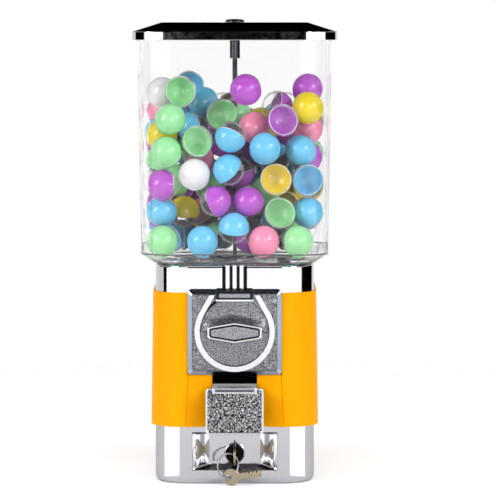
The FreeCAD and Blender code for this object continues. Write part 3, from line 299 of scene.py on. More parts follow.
@dataclass(frozen=True)
class Enamel(Finish):
    """Baked enamel over sheet steel: glossy colour with a fine orange-peel skin."""

    light: str
    dark: str
    rough: float = 0.34
    rough_spread: float = 0.05
    gloss: float = 0.03
    patch: float = 70.0
    peel: float = 2.4
    peel_depth: float = 0.03
    peel_strength: float = 0.25

    def shade(self, mix: Recipe) -> None:
        """Colour drifts a little over large patches, and the skin is faintly dimpled."""
        skin = mix.noise(self.peel)
        mix.set_shader({
            "IOR": 1.5,
            "Specular IOR Level": self.gloss,
            "Base Color": mix.tones(mix.noise(self.patch, detail=3.0), self.light, self.dark),
            "Roughness": mix.spread(skin, self.rough - self.rough_spread, self.rough + self.rough_spread),
            "Normal": mix.relief(skin, self.peel_strength, self.peel_depth),
        })


@dataclass(frozen=True)
class MouldedPlastic(Finish):
    """Injection-moulded plastic, rubber or a dull coat on metal: even colour with a fine grain."""

    light: str
    dark: str
    rough: float
    grain: float = 1.6
    ior: float = 1.5
    relief_depth: float = 0.03
    gloss: float = 0.5
    relief_strength: float = 0.3

    def shade(self, mix: Recipe) -> None:
        """Fine grain in tone, sheen and height."""
        grain = mix.noise(self.grain, detail=3.0)
        mix.set_shader({
            "IOR": self.ior,
            "Specular IOR Level": self.gloss,
            "Base Color": mix.tones(grain, self.light, self.dark),
            "Roughness": mix.spread(grain, self.rough - 0.04, self.rough + 0.06),
            "Normal": mix.relief(grain, self.relief_strength, self.relief_depth),
        })


@dataclass(frozen=True)
class Polystyrene(MouldedPlastic):
    """Capsule plastic: clean bright colour under a soft gloss."""

    rough: float = 0.16
    grain: float = 4.0
    ior: float = 1.59
    relief_depth: float = 0.02
    gloss: float = 0.3


@dataclass(frozen=True)
class ClearWall(Finish):
    """Thick clear polycarbonate: almost unseen face on, true glass towards its edges."""

    tint: str
    rough: float = 0.02
    rub: float = 18.0
    ior: float = 1.45
    unseen: float = 0.97
    unseen_at_edge: float = 0.1
    shine: float = 0.012
    shine_at_edge: float = 0.06

    def shade(self, mix: Recipe) -> None:
        """Refracting wall with a faint rubbed haze, open to shadow and diffuse rays."""
        mix.set_shader({
            "Base Color": linear(self.tint),
            "Transmission Weight": 1.0,
            "IOR": self.ior,
            "Roughness": mix.spread(mix.noise(self.rub, detail=4.0), 0.0, self.rough, (0.4, 0.8)),
        })
        through = mix.spread(mix.grazing, self.unseen, self.unseen_at_edge, (0.55, 0.98), eased=True)
        light = mix.reckon("MAXIMUM", mix.rays["Is Shadow Ray"], mix.rays["Is Diffuse Ray"])
        clear = add_node(mix.tree, "ShaderNodeBsdfTransparent", None, {"Color": linear("FFFFFF")})
        wall = mix.blend(mix.reckon("MAXIMUM", light, through), mix.shader.outputs[0], clear.outputs[0])
        shine = mix.spread(mix.grazing, self.shine, self.shine_at_edge)
        gloss = add_node(mix.tree, "ShaderNodeBsdfGlossy", None, {"Roughness": self.rough})
        seen = mix.reckon("MULTIPLY", shine, mix.rays["Is Camera Ray"])
        mix.set_output(mix.blend(seen, wall, gloss.outputs[0]))


@dataclass(frozen=True)
class ClearShell(Finish):
    """Thin clear polystyrene: almost unseen face on, bright and solid towards its rim."""

    tint: str
    face_on: float = 0.03
    edge_on: float = 0.6
    scuff: float = 7.0
    ior: float = 1.59

    def shade(self, mix: Recipe) -> None:
        """Alpha rises with the grazing angle, and a light scuff breaks the gloss."""
        solid = mix.spread(mix.grazing, self.face_on, self.edge_on, (0.45, 1.0), eased=True)
        mix.set_shader({
            "Base Color": linear(self.tint),
            "IOR": self.ior,
            "Coat Weight": 1.0,
            "Roughness": mix.spread(mix.noise(self.scuff, detail=4.0), 0.03, 0.12),
            "Alpha": mix.reckon("MULTIPLY", solid, mix.reckon("SUBTRACT", 1.0, mix.rays["Is Shadow Ray"])),
        })


class Surface(Enum):
    """The finishes on the machine, each with what it gives the eye."""

    # Clean mirror of the lid, neck and lock collar, drawn by the studio's dark and bright cards.
    CHROME = PlatedMetal("bright_chrome_plate", "chrome_plate", "C9CACC", "BFC1C4", rough=0.03)
    # Dark mirror on the lid's lock, a black spot against the bright lid.
    BLACK_CHROME = PlatedMetal("black_chrome_plate", "chrome_plate", "3A3B3E", "2C2D30", rough=0.06,
                               rough_spread=0.04)
    # Softer mirror of the cash base and drawer, with wide pale stripes.
    SATIN = PlatedMetal("satin_chrome_plate", "chrome_plate", "C7C7CC", "C0C0C6", rough=0.06,
                        rough_spread=0.05)
    # Warm, even yellow with hardly a highlight, which drifts a little from patch to patch.
    ENAMEL = Enamel("yellow_baked_enamel", "yellow_enamel", "FFAE02", "FDA600")
    # Clear tub seen by its greyer edges, with a faint haze where hands rub it.
    CLEAR = ClearWall("moulded_clear_polycarbonate", "clear_polycarbonate", "FFFFFF")
    # Blue-grey polish on the coin plate's bevel.
    ZINC_FRAME = PlatedMetal("polished_zinc_casting", "cast_zinc", "90969F", "868C96", rough=0.1, wave=9.0,
                             mark=1.8)
    # Grey pebbles on the coin plate and the dial, with black between them painted as shade.
    ZINC_PEBBLE = PebbledCasting("pebbled_zinc_casting", "cast_zinc", "909296", "1E1F22", rough=0.3,
                                 grain=0.95, depth=0.24, low=0.35, high=0.62)
    # Pale rubbed rims: horseshoe, grip, door edge and hinge leaf.
    ZINC_BRIGHT = PlatedMetal("bright_zinc_casting", "cast_zinc", "D2D4D8", "C6C8CD", rough=0.14,
                              rough_spread=0.08, wave=12.0, mark=2.5, wave_depth=0.03)
    # Coarse glittering dimples of the chute door, from white tops to black pits, the black being painted
    # shade.
    HAMMERED = PebbledCasting("hammered_chrome_casting", "chrome_plate", "9C9C9F", "101011", rough=0.14,
                              grain=1.5, depth=0.5, low=0.4, high=0.62)
    # Near black metal of the coin hood; the same black, on a slab in the grip's groove, is painted shade.
    ZINC_DARK = PlatedMetal("blackened_zinc_and_painted_groove_shade", "cast_zinc", "2C2D30", "161719", rough=0.18,
                            rough_spread=0.1, wave=9.0, mark=2.0, wave_depth=0.03)
    # Quiet mid grey with a fine grain, in the grip and the coin guide.
    ZINC_FINE = PebbledCasting("fine_grained_zinc_casting", "cast_zinc", "989A9E", "606266", rough=0.34,
                               grain=0.9, depth=0.14, low=0.3, high=0.66)
    # Flat grey of the centre rod, which mirrors nothing through the clear tub.
    ROD = MouldedPlastic("phosphated_steel_rod", "zinc_steel", "6C7276", "5A6064", rough=0.35)
    # Dull dark grey panel inside the hinge leaf's bright frame.
    ZINC_DULL = PlatedMetal("dull_zinc_casting", "cast_zinc", "616366", "505255", rough=0.34,
                            rough_spread=0.12, wave=9.0, mark=2.0, wave_depth=0.03)
    # Chalky light grey of the hinge bracket.
    PASSIVATED = MouldedPlastic("passivated_zinc_casting", "cast_zinc", "9A9C9E", "868889", rough=0.36)
    # Painted shade: a thin grey band that stands in for the dark line the clear tub shows where it turns in
    # to its foot.
    MOULD_LINE = MouldedPlastic("painted_shade_line_on_polycarbonate", "clear_polycarbonate", "5A6062", "484E50",
                                rough=0.3)
    # White line round a capsule where its two halves meet.
    LIP = Polystyrene("pale_polystyrene_lip", "capsule_clear", "F3F2F4", "E9E8EA", rough=0.2)
    # Soft grey sheen of screws, pins, brackets and the tray.
    STEEL = PlatedMetal("zinc_plated_steel", "zinc_steel", "A7ABAF", "8D9196", rough=0.24,
                        rough_spread=0.12, wave=14.0, mark=3.0, wave_depth=0.03)
    # Bright deck below the wheel, which mirrors the capsules.
    STEEL_POLISHED = PlatedMetal("polished_steel_plate", "zinc_steel", "C6CACE", "B6BABE", rough=0.05,
                                 rough_spread=0.04)
    # Black slide that stays unseen behind the chute's opening.
    STEEL_BLACK = PlatedMetal("black_oxide_steel", "zinc_steel", "161617", "0C0C0D", rough=0.5,
                              rough_spread=0.1, wave=14.0, mark=3.0, wave_depth=0.03)
    # Warm gold of the gears and the bush.
    BRASS = PlatedMetal("turned_brass_bar", "turned_brass", "C9A45A", "B58E43", rough=0.2, rough_spread=0.1,
                        wave=6.0, mark=1.2)
    # Off-white, half matt wheel and runners.
    NYLON = MouldedPlastic("moulded_white_nylon", "white_nylon", "EFEEE9", "E2E1DB", rough=0.42)
    # Dead black inside of the chute.
    CHUTE_BLACK = MouldedPlastic("matt_black_abs", "black_abs", "0B0B0C", "070708", rough=0.9, gloss=0.03)
    # Dull black feet.
    RUBBER = MouldedPlastic("moulded_black_rubber", "black_rubber", "1C1C1C", "121212", rough=0.75, grain=0.9)
    # Glossy black of the drawer's lock; the same black is painted shade on the drawer's sill strip and the
    # seat behind the reeds.
    LOCK_BLACK = PlatedMetal("black_lock_plate_and_painted_shade", "lock_black", "1D1D1F", "0E0E10", rough=0.12,
                             rough_spread=0.08, wave=8.0, mark=2.0)
    # Warm, worn grey of the keys.
    NICKEL = PlatedMetal("stamped_nickel", "key_nickel", "B0A690", "968C78", rough=0.22, rough_spread=0.12,
                         wave=5.0, mark=1.4, wave_depth=0.04)
    # Clean bright colours of the capsules' solid halves, and a milky white.
    BLUE = Polystyrene("blue_polystyrene", "capsule_blue", "74CAF0", "64BEE8")
    PURPLE = Polystyrene("purple_polystyrene", "capsule_purple", "C25ED2", "B04FC2")
    MINT = Polystyrene("mint_polystyrene", "capsule_mint", "A2E8A6", "90DC98")
    YELLOW = Polystyrene("yellow_polystyrene", "capsule_yellow", "F4DC1C", "E6CC10")
    PINK = Polystyrene("pink_polystyrene", "capsule_pink", "FB96B8", "F086AA")
    MILK = Polystyrene("milky_polystyrene", "capsule_clear", "F0EDF0", "E6E3E6")
    # Clear halves, seen by their bright rims and highlights.
    SHELL = ClearShell("clear_polystyrene", "capsule_clear", "F4F4F6")


class Seed(Enum):
    """Shifts of the fixed noise, so that no two cast skins are alike."""

    PLATE = 3.1
    DIAL = 7.7
    GRIP = 1.3
    DOOR = 5.9


@dataclass(frozen=True)
class Edging:
    """How a piece's edges are finished.

    Attributes:
        radius: rounding of its sharp edges, or 0 for none.
        steps: faces across that rounding.
        angle: edges sharper than this many degrees are rounded.
        wall: thickness given to an open sheet, inwards.
    """

    radius: float
    steps: int
    angle: float
    wall: float = 0.0


def mount(mesh: bpy.types.Mesh, name: str, surface: Surface, body: str, edging: Edging,
          stands_for: Iterable[str] = ()) -> None:
    """Put a finished mesh, in metres, on a body of the machine.

    Args:
        mesh: the mesh, in its place.
        name: the piece's name.
        surface: its finish.
        body: the CAD body that it moves with.
        edging: how its edges are finished.
        stands_for: the CAD nodes that it replaces.
    """
    mesh.materials.clear()
    mesh.materials.append(surface.value.material())
    mesh.shade_smooth()
    mesh.set_sharp_from_angle(angle=math.radians(edging.angle))
    piece = bpy.data.objects.new(name, mesh)
    bpy.context.scene.collection.objects.link(piece)
    if edging.wall:
        wall = piece.modifiers.new("wall", "SOLIDIFY")
        wall.thickness = edging.wall * METRES
        wall.offset = -1
    if edging.radius:
        soft = piece.modifiers.new("soft_edges", "BEVEL")
        soft.width = edging.radius * METRES
        soft.segments = edging.steps
        soft.limit_method = "ANGLE"
        soft.angle_limit = math.radians(edging.angle)
        soft.use_clamp_overlap = True
        even = piece.modifiers.new("even_shading", "WEIGHTED_NORMAL")
        even.keep_sharp = True
    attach(piece, body)
    if stands_for:
        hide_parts(*stands_for)
    LOG.info("%s: %d faces in %s on %s", name, len(mesh.polygons), surface.value.name, body)


class Blank:
    """A workpiece in millimetres, with the shop's operations on it."""

    def __init__(self) -> None:
        """Start with nothing on the bench."""
        self.bm = bmesh.new()

    def ring(self, size: Pair, corner: float, height: float, middle: Pair = (0.0, 0.0),
             steps: int = 10) -> Edges:
        """Lay a loop of edges round a rectangle with round corners.

        Args:
            size: width and depth.
            corner: corner radius.
            height: height of the loop.
            middle: its centre.
            steps: edges across each corner.

        Returns:
            The loop's edges.
        """
        before = set(self.bm.faces)
        spot = Matrix.Translation((*middle, height)) @ Matrix.Diagonal((*size, 1, 1))
        made = bmesh.ops.create_grid(self.bm, x_segments=1, y_segments=1, size=0.5, matrix=spot)
        return self.open_face(made["verts"], corner, steps, before)

    def square(self, width: float, corner: float, height: float, steps: int = 10) -> Edges:
        """Lay a loop round a square about the machine's upright axis."""
        return self.ring((width, width), corner, height, steps=steps)

    def polygon(self, points: Sequence[Pair], corner: float, height: float, steps: int = 4) -> Edges:
        """Lay a loop round a few points, with its corners rounded.

        Args:
            points: the corners in order.
            corner: how far each corner is cut back along its sides.
            height: height of the loop.
            steps: edges across each corner.

        Returns:
            The loop's edges.
        """
        before = set(self.bm.faces)
        verts = [self.bm.verts.new((*point, height)) for point in points]
        self.bm.faces.new(verts)
        return self.open_face(verts, corner, steps, before)

    def open_face(self, verts: Sequence[bmesh.types.BMVert], corner: float, steps: int,
                  before: set[bmesh.types.BMFace]) -> Edges:
        """Round the corners of the one new face, take it away and give the edges that it leaves."""
        bmesh.ops.bevel(self.bm, geom=verts, offset=corner, offset_type="OFFSET", segments=steps,
                        profile=0.5, affect="VERTICES", material=-1)
        face = next(face for face in self.bm.faces if face not in before)
        edges = list(face.edges)
        bmesh.ops.delete(self.bm, geom=[face], context="FACES_ONLY")
        return edges

    def circle(self, radius: float, height: float, steps: int = 44, middle: Pair = (0.0, 0.0)) -> Edges:
        """Lay a round loop of edges.

        Args:
            radius: its radius.
            height: height of the loop.
            steps: edges round it.
            middle: its centre.

        Returns:
            The loop's edges.
        """
        spot = Matrix.Translation((*middle, height)) @ Matrix.Rotation(math.pi / steps, 4, "Z")
        made = bmesh.ops.create_circle(self.bm, cap_ends=False, radius=radius, segments=steps, matrix=spot)
        return list({edge for vert in made["verts"] for edge in vert.link_edges})

    def skin(self, loops: Sequence[Edges], closed: bool = False) -> None:
        """Join loops one after the other.

        Args:
            loops: loops in order.
            closed: whether the last joins the first, which makes a solid wall.
        """
        pairs = list(zip(loops, loops[1:]))
        if closed:
            pairs.append((loops[-1], loops[0]))
        for near, far in pairs:
            bmesh.ops.bridge_loops(self.bm, edges=[*near, *far])

    def cap(self, loop: Edges) -> None:
        """Close a loop with one face."""
        bmesh.ops.contextual_create(self.bm, geom=loop)

    def solid(self, loops: Sequence[Edges]) -> None:
        """Join loops one after the other and close both ends."""
        self.skin(loops)
        self.cap(loops[0])
        self.cap(loops[-1])

    def turn(self, profile: Sequence[Pair], steps: int, closed: bool = False) -> None:
        """Spin a profile of radius and height pairs round the upright axis.

        Args:
            profile: the pairs in order.
            steps: faces round it.
            closed: whether the profile returns to its start, as a ring's does.
        """
        verts = [self.bm.verts.new((radius, 0, height)) for radius, height in profile]
        edges = [self.bm.edges.new(pair) for pair in zip(verts, verts[1:])]
        if closed:
            edges.append(self.bm.edges.new((verts[-1], verts[0])))
        bmesh.ops.spin(self.bm, geom=[*verts, *edges], cent=(0, 0, 0), axis=(0, 0, 1), angle=math.tau,
                       steps=steps, use_merge=True, use_duplicate=False)
        self.weld()

    def block(self, low: Spot, high: Spot) -> "Blank":
        """Add a plain block, for cutting with, and give the workpiece back."""
        size = [far - near for near, far in zip(low, high)]
        middle = [(far + near) / 2 for near, far in zip(low, high)]
        spot = Matrix.Translation(middle) @ Matrix.Diagonal((*size, 1))
        bmesh.ops.create_cube(self.bm, size=1, matrix=spot)
        return self

    def grid(self, size: Pair, cell: float, middle: Spot = (0.0, 0.0, 0.0)) -> None:
        """Lay a flat sheet of small faces.

        Args:
            size: width and depth.
            cell: about how wide a face is.
            middle: the sheet's centre.
        """
        across, along = (round(length / cell) for length in size)
        spot = Matrix.Translation(middle) @ Matrix.Diagonal((*size, 1, 1))
        bmesh.ops.create_grid(self.bm, x_segments=across, y_segments=along, size=0.5, matrix=spot)

    def weld(self) -> None:
        """Merge doubled points and turn the faces outwards."""
        bmesh.ops.remove_doubles(self.bm, verts=self.bm.verts, dist=1e-3)
        bmesh.ops.recalc_face_normals(self.bm, faces=self.bm.faces)

    def place(self, matrix: Matrix, start: int = 0) -> None:
        """Move the workpiece, or only its points from a number on."""
        self.bm.verts.ensure_lookup_table()
        bmesh.ops.transform(self.bm, matrix=matrix, verts=self.bm.verts[start:])

    def split(self, point: Spot, normal: Spot, front_of: float) -> None:
        """Score the workpiece along a plane.

        Args:
            point: a point on the plane.
            normal: the plane's normal.
            front_of: only faces whose middle lies before this depth are scored.
        """
        faces = [face for face in self.bm.faces if face.calc_center_median().y < front_of]
        parts = {part for face in faces for part in (face, *face.edges, *face.verts)}
        bmesh.ops.bisect_plane(self.bm, geom=list(parts), plane_co=point, plane_no=normal, dist=1e-3)

    def trim(self, point: Sequence[float], normal: Sequence[float]) -> None:
        """Cut away what lies beyond a plane, on the side to which its normal points."""
        parts = [*self.bm.verts, *self.bm.edges, *self.bm.faces]
        bmesh.ops.bisect_plane(self.bm, geom=parts, plane_co=point, plane_no=normal, clear_outer=True)

    def close(self) -> None:
        """Close every open loop with a face."""
        bmesh.ops.holes_fill(self.bm, edges=self.bm.edges, sides=0)

    def roughen(self, depth: float, grain: float, seed: Seed,
                only: Iterable[bmesh.types.BMVert] | None = None) -> None:
        """Push points up and down with a fixed noise, as a cast skin has.

        Args:
            depth: most that a point moves.
            grain: width of a pebble.
            seed: which skin it is.
            only: the points to move, or all.
        """
        shift = Vector((seed.value,) * 3)
        for vert in (self.bm.verts if only is None else only):
            vert.co.z += depth * noise.noise(vert.co / grain + shift)

    def to_mesh(self, name: str, sheet: bool = False, scale: float = METRES) -> bpy.types.Mesh:
        """Turn the workpiece into a mesh, and clear the bench.

        Args:
            name: the mesh's name.
            sheet: whether it is an open sheet that already faces the right way.
            scale: length of the workpiece's unit in the mesh.

        Returns:
            The mesh.
        """
        if not sheet:
            self.weld()
        self.place(Matrix.Scale(scale, 4))
        mesh = bpy.data.meshes.new(name)
        self.bm.to_mesh(mesh)
        self.bm.free()
        return mesh

    def carve(self, name: str, cutters: Sequence["Blank"]) -> bpy.types.Mesh:
        """Cut other workpieces out of this one.

        Args:
            name: the new mesh's name.
            cutters: what is taken away.

        Returns:
            The carved mesh, in metres.
        """
        base = bpy.data.objects.new(f"{name}_base", self.to_mesh(name))
        tools = [bpy.data.objects.new(f"{name}_tool", cutter.to_mesh(f"{name}_tool")) for cutter in cutters]
        for item in (base, *tools):
            bpy.context.scene.collection.objects.link(item)
        for tool in tools:
            saw = base.modifiers.new("saw", "BOOLEAN")
            saw.operation = "DIFFERENCE"
            saw.solver = "EXACT"
            saw.object = tool
        graph = bpy.context.evaluated_depsgraph_get()
        mesh = bpy.data.meshes.new_from_object(base.evaluated_get(graph))
        mesh.name = name
        for item in (base, *tools):
            spent = item.data
            bpy.data.objects.remove(item)
            bpy.data.meshes.remove(spent)
        return mesh

    def fit(self, name: str, surface: Surface, body: str, edging: Edging, stands_for: Iterable[str] = (),
            sheet: bool = False, cutters: Sequence["Blank"] = ()) -> None:
        """Finish the workpiece and put it on a body of the machine.

        Args:
            name: the piece's name.
            surface: its finish.
            body: the CAD body that it moves with.
            edging: how its edges are finished.
            stands_for: the CAD nodes that it replaces.
            sheet: whether it is an open sheet that already faces the right way.
            cutters: what is cut out of it first.
        """
        mesh = self.carve(name, cutters) if cutters else self.to_mesh(name, sheet)
        mount(mesh, name, surface, body, edging, stands_for)


def dress(surface: Surface, *nodes: str) -> None:
    """Give CAD nodes, whose shapes are right, their finish.

    Args:
        surface: the finish.
        nodes: the nodes' names.
    """
    for node in nodes:
        mesh = bpy.data.objects[node].data
        mesh.materials.clear()
        mesh.materials.append(surface.value.material())
        LOG.info("%s: CAD node in %s", node, surface.value.name)


def refine(node: str, surface: Surface, edging: Edging, front: float | None = None) -> None:
    """Stand a copy of a CAD node with softened edges in its place.

    Args:
        node: the node's name.
        surface: its finish.
        edging: how its edges are finished.
        front: where the copy is cut off before the machine's middle, for another piece to go on.
    """
    source = bpy.data.objects[node]
    blank = Blank()
    bm = blank.bm
    bm.from_mesh(source.data)
    bmesh.ops.remove_doubles(bm, verts=bm.verts, dist=2e-6)
    bmesh.ops.dissolve_limit(bm, angle_limit=math.radians(0.5), verts=bm.verts, edges=bm.edges)
    if front is not None:
        blank.trim((0, -front * METRES, 0), (0, -1, 0))
        blank.close()
    name = f"{node}_finished"
    mount(blank.to_mesh(name, sheet=True, scale=1.0), name, surface, source["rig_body"], edging, (node,))


def build_bar(name: str, surface: Surface, body: str, edging: Edging, size: Pair, corner: float, up: float,
              depths: Pair) -> None:
    """Make a plain bar that lies across the machine's front.

    Args:
        name: the piece's name.
        surface: its finish.
        body: the CAD body that it moves with.
        edging: how its edges are finished.
        size: width and height.
        corner: corner radius.
        up: height of its middle.
        depths: how far its back and its face stand before the machine's middle.
    """
    blank = Blank()
    blank.solid([blank.ring(size, corner, depth, (0.0, up), 4) for depth in depths])
    blank.place(FRONT)
    blank.fit(name, surface, body, edging)


class Assembly(ABC):
    """A sub-assembly of the machine, which holds its sizes and builds its pieces."""

    @abstractmethod
    def build(self) -> None:
        """Make and dress the pieces."""


class Glow(Enum):
    """What a studio card shows to a mirror: its brightness."""

    DARK = 0.0
    BRIGHT = 1.9
    STRIP = 12.0


@dataclass
class Studio(Assembly):
    """Pale floor, soft lamps, reflector cards and the camera, in metres."""

    eye: Spot = (0.0133, -3.25, 0.468)
    aim: Spot = (0.0133, -0.09, 0.236)
    sensor: float = 36.0
    frame_pixels: float = 499.0
    pixel_at_front: float = 1.009
    floor_radius: float = 1.3
    floor_solid: float = 0.3
    floor_lift: float = 0.3
    ambient: float = 0.5
    lamp_watts: float = 14.0
    lamp_size: Pair = (0.5, 0.65)
    lamp_aim: Spot = (0.0, 0.0, 0.22)
    ceiling: float = 1.6
    table: float = 0.004

    def build(self) -> None:
        """Set up the floor, the light and the camera."""
        self.light_world()
        self.lay_floor()
        self.hang_lamp("softbox_left", (-1.25, -1.15, 0.95))
        self.hang_lamp("softbox_right", (1.25, -1.15, 0.95))
        self.hang_lamp("top_light", (0.0, -0.35, 1.7), 0.4)
        self.stand_cards()
        self.set_camera()
        bpy.context.scene.view_settings.view_transform = "Standard"

    def light_world(self) -> None:
        """White to the eye, to mirrors and through glass, and a softer level as light."""
        world = bpy.data.worlds.new("studio_air")
        world.use_nodes = True
        tree = world.node_tree
        tree.nodes.clear()
        mix = Recipe(tree)
        seen = mix.reckon("MAXIMUM", mix.rays["Is Camera Ray"], mix.rays["Is Glossy Ray"])
        seen = mix.reckon("MAXIMUM", seen, mix.rays["Is Transmission Ray"])
        colour = linear("FFFFFF")
        lit, white = (add_node(tree, "ShaderNodeBackground", None, {"Color": colour, "Strength": level})
                      for level in (self.ambient, 1.0))
        both = mix.blend(seen, lit.outputs[0], white.outputs[0])
        add_node(tree, "ShaderNodeOutputWorld", None, {"Surface": both})
        bpy.context.scene.world = world

    def lay_floor(self) -> None:
        """A white table top that fades into the white air at its rim."""
        blank = Blank()
        blank.cap(blank.circle(self.floor_radius / METRES, 0.0, 96))
        paper = new_material("white_paper")
        mix = Recipe(paper.node_tree)
        length = add_node(mix.tree, "ShaderNodeVectorMath", {"operation": "LENGTH"}, {0: mix.spot})
        fade = (self.floor_solid, self.floor_radius * 0.95)
        mix.set_shader({
            "Base Color": mix.tones(mix.noise(1.5), "FAFAFA", "F7F7F7"),
            "Roughness": 0.9,
            "Specular IOR Level": 0.0,
            "Emission Color": linear("FFFFFF"),
            "Emission Strength": mix.reckon("MULTIPLY", mix.rays["Is Camera Ray"], self.floor_lift),
            "Alpha": mix.spread(length.outputs["Value"], 1.0, 0.0, fade, eased=True),
        })
        self.stand(blank, "table_top", paper)

    def stand(self, blank: Blank, name: str, material: bpy.types.Material) -> bpy.types.Object:
        """Put one flat thing in the studio.

        Args:
            blank: its shape.
            name: its name.
            material: its material.

        Returns:
            The new object.
        """
        mesh = blank.to_mesh(name, sheet=True)
        mesh.materials.append(material)
        thing = bpy.data.objects.new(name, mesh)
        bpy.context.scene.collection.objects.link(thing)
        return thing

    def hang_lamp(self, name: str, spot: Spot, share: float = 1.0) -> None:
        """Hang a soft area lamp that faces the machine.

        Args:
            name: the lamp's name.
            spot: where it hangs.
            share: its share of the usual power.
        """
        light = bpy.data.lights.new(name, "AREA")
        light.shape = "RECTANGLE"
        light.size, light.size_y = self.lamp_size
        light.energy = self.lamp_watts * share
        self.point(bpy.data.objects.new(name, light), spot, self.lamp_aim)

    def point(self, thing: bpy.types.Object, spot: Spot, aim: Spot) -> None:
        """Stand a lamp or camera at a spot and turn it to where it aims."""
        thing.location = spot
        thing.rotation_euler = (Vector(aim) - Vector(spot)).to_track_quat("-Z", "Y").to_euler()
        bpy.context.scene.collection.objects.link(thing)

    def stand_cards(self) -> None:
        """Cards that only mirrors see: dark above and beside, bright in front and on the table."""
        for name, glow, near, far, low, high in (
            ("dark_by_camera", Glow.DARK, (-0.2, -3.4), (0.22, -3.4), 0.2, 1.2),
            ("dark_left_low", Glow.DARK, (-1.3, -0.25), (-1.3, 0.09), 0.0, 0.27),
            ("dark_left_high", Glow.DARK, (-1.3, -0.42), (-1.3, 0.69), 0.3, 0.65),
            ("dark_right", Glow.DARK, (1.3, -0.37), (1.3, 1.3), 0.0, 0.65),
            ("bright_left", Glow.BRIGHT, (-0.24, -3.0), (-2.75, -0.95), 0.33, 0.8),
            ("bright_right", Glow.BRIGHT, (0.26, -3.0), (2.75, -0.85), 0.33, 0.8),
            ("strip_left", Glow.STRIP, (-1.75, -1.35), (-1.95, -1.0), 0.3, 0.85),
            ("strip_right", Glow.STRIP, (0.45, -2.5), (0.95, -2.2), 0.3, 0.85),
        ):
            self.card(name, glow, [(*near, low), (*far, low), (*far, high), (*near, high)])
        self.lay_card("dark_overhead", Glow.DARK, self.ceiling, ((-2, -2.4), (2, -2.4), (2, 7), (-2, 7)))
        self.lay_card("bright_table", Glow.BRIGHT, self.table,
                      ((-3.2, -3.2), (3.2, -3.2), (3.2, -1.05), (-3.2, -1.05)))
        for name, side in (("left", -1), ("right", 1)):
            self.lay_card(f"bright_side_{name}", Glow.BRIGHT, self.table,
                          ((0.07, -0.1015), (0.55, -0.88), (1.05, -0.022), (0.078, -0.0692)), side)
            self.lay_card(f"bright_table_{name}", Glow.BRIGHT, self.table,
                          ((1.1, -1.05), (3.2, -1.05), (3.2, -0.3), (1.1, -0.3)), side)

    def lay_card(self, name: str, glow: Glow, height: float, corners: Sequence[Pair], side: int = 1) -> None:
        """Lay a flat card at a height.

        Args:
            name: the card's name.
            glow: how bright it is.
            height: where it lies.
            corners: its four corners in order, on the right.
            side: 1 for the right and -1 for the left.
        """
        self.card(name, glow, [(across * side, along, height) for across, along in corners])

    def card(self, name: str, glow: Glow, corners: Sequence[Spot]) -> None:
        """Stand one card that only mirrors see.

        Args:
            name: the card's name.
            glow: how bright it is.
            corners: its four corners in order.
        """
        blank = Blank()
        blank.bm.faces.new([blank.bm.verts.new(Vector(corner) / METRES) for corner in corners])
        paint = new_material(f"{glow.name.lower()}_card")
        mix = Recipe(paint.node_tree)
        shine = add_node(mix.tree, "ShaderNodeEmission", None,
                         {"Color": linear("FFFFFF"), "Strength": glow.value})
        mix.set_output(shine.outputs[0])
        card = self.stand(blank, name, paint)
        card.visible_camera = False
        card.visible_diffuse = False
        card.visible_transmission = False
        card.visible_shadow = False

    def set_camera(self) -> None:
        """Stand the camera at the photograph's place and angle."""
        data = bpy.data.cameras.new("camera")
        away = (Vector(self.aim) - Vector(self.eye)).length
        data.sensor_width = self.sensor
        data.lens = self.sensor / self.frame_pixels * away / METRES * self.pixel_at_front
        camera = bpy.data.objects.new("camera", data)
        self.point(camera, self.eye, self.aim)
        bpy.context.scene.camera = camera


@dataclass
class Canister(Assembly):
    """Clear square tub with a bevelled foot, and the rod that runs up its middle."""

    foot: float = 221.0
    low: float = 230.0
    top: float = 446.0
    foot_width: float = 162.0
    low_width: float = 187.0
    top_width: float = 194.0
    wall: float = 3.0
    foot_wall: float = 1.0
    inner_low: float = 231.4
    foot_corner: float = 27.0
    corner: float = 31.0
    mouth: float = 66.0
    # The grey bands at the foot's turns are painted shade: their height and how far they stand off the wall.
    mould_line: float = 1.3
    shade_line_proud: float = 0.3

    def build(self) -> None:
        """Make the tub with grey bands round its foot as painted shade lines, and dress the rod."""
        blank = Blank()
        inner = self.corner - self.wall
        blank.skin([
            blank.circle(self.mouth, self.foot),
            blank.square(self.foot_width, self.foot_corner, self.foot),
            blank.square(self.low_width, self.corner, self.low),
            blank.square(self.top_width, self.corner, self.top),
            blank.square(self.top_width - 2 * self.wall, inner, self.top),
            blank.square(self.low_width - 2 * self.wall, inner, self.inner_low),
            blank.square(self.foot_width - 2 * self.foot_wall, self.foot_corner - self.foot_wall,
                         self.foot + self.wall),
            blank.circle(self.mouth, self.foot + self.wall),
        ], closed=True)
        blank.fit("canister_tub", Surface.CLEAR, "machine", Edging(0.9, 3, 20), ("canister",))
        self.build_painted_shade_line("low", self.low_width, self.corner, self.low)
        self.build_painted_shade_line("foot", self.foot_width, self.foot_corner, self.foot)
        dress(Surface.ROD, "centre_rod")
        dress(Surface.STEEL, "rod_nut")
        refine("rod_sleeve", Surface.ROD, Edging(0, 1, 50))

    def build_painted_shade_line(self, name: str, width: float, corner: float, height: float) -> None:
        """Lay a thin grey band round the tub, painted shade for the dark line where the clear wall turns.

        Args:
            name: which line it is.
            width: the tub's width there.
            corner: its corner radius.
            height: where the band stands.
        """
        blank = Blank()
        blank.skin([blank.square(width + self.shade_line_proud, corner, height + up)
                    for up in (0.1, self.mould_line)])
        blank.fit(f"canister_mould_line_{name}", Surface.MOULD_LINE, "machine",
                  Edging(0, 1, 60, self.shade_line_proud), sheet=True)


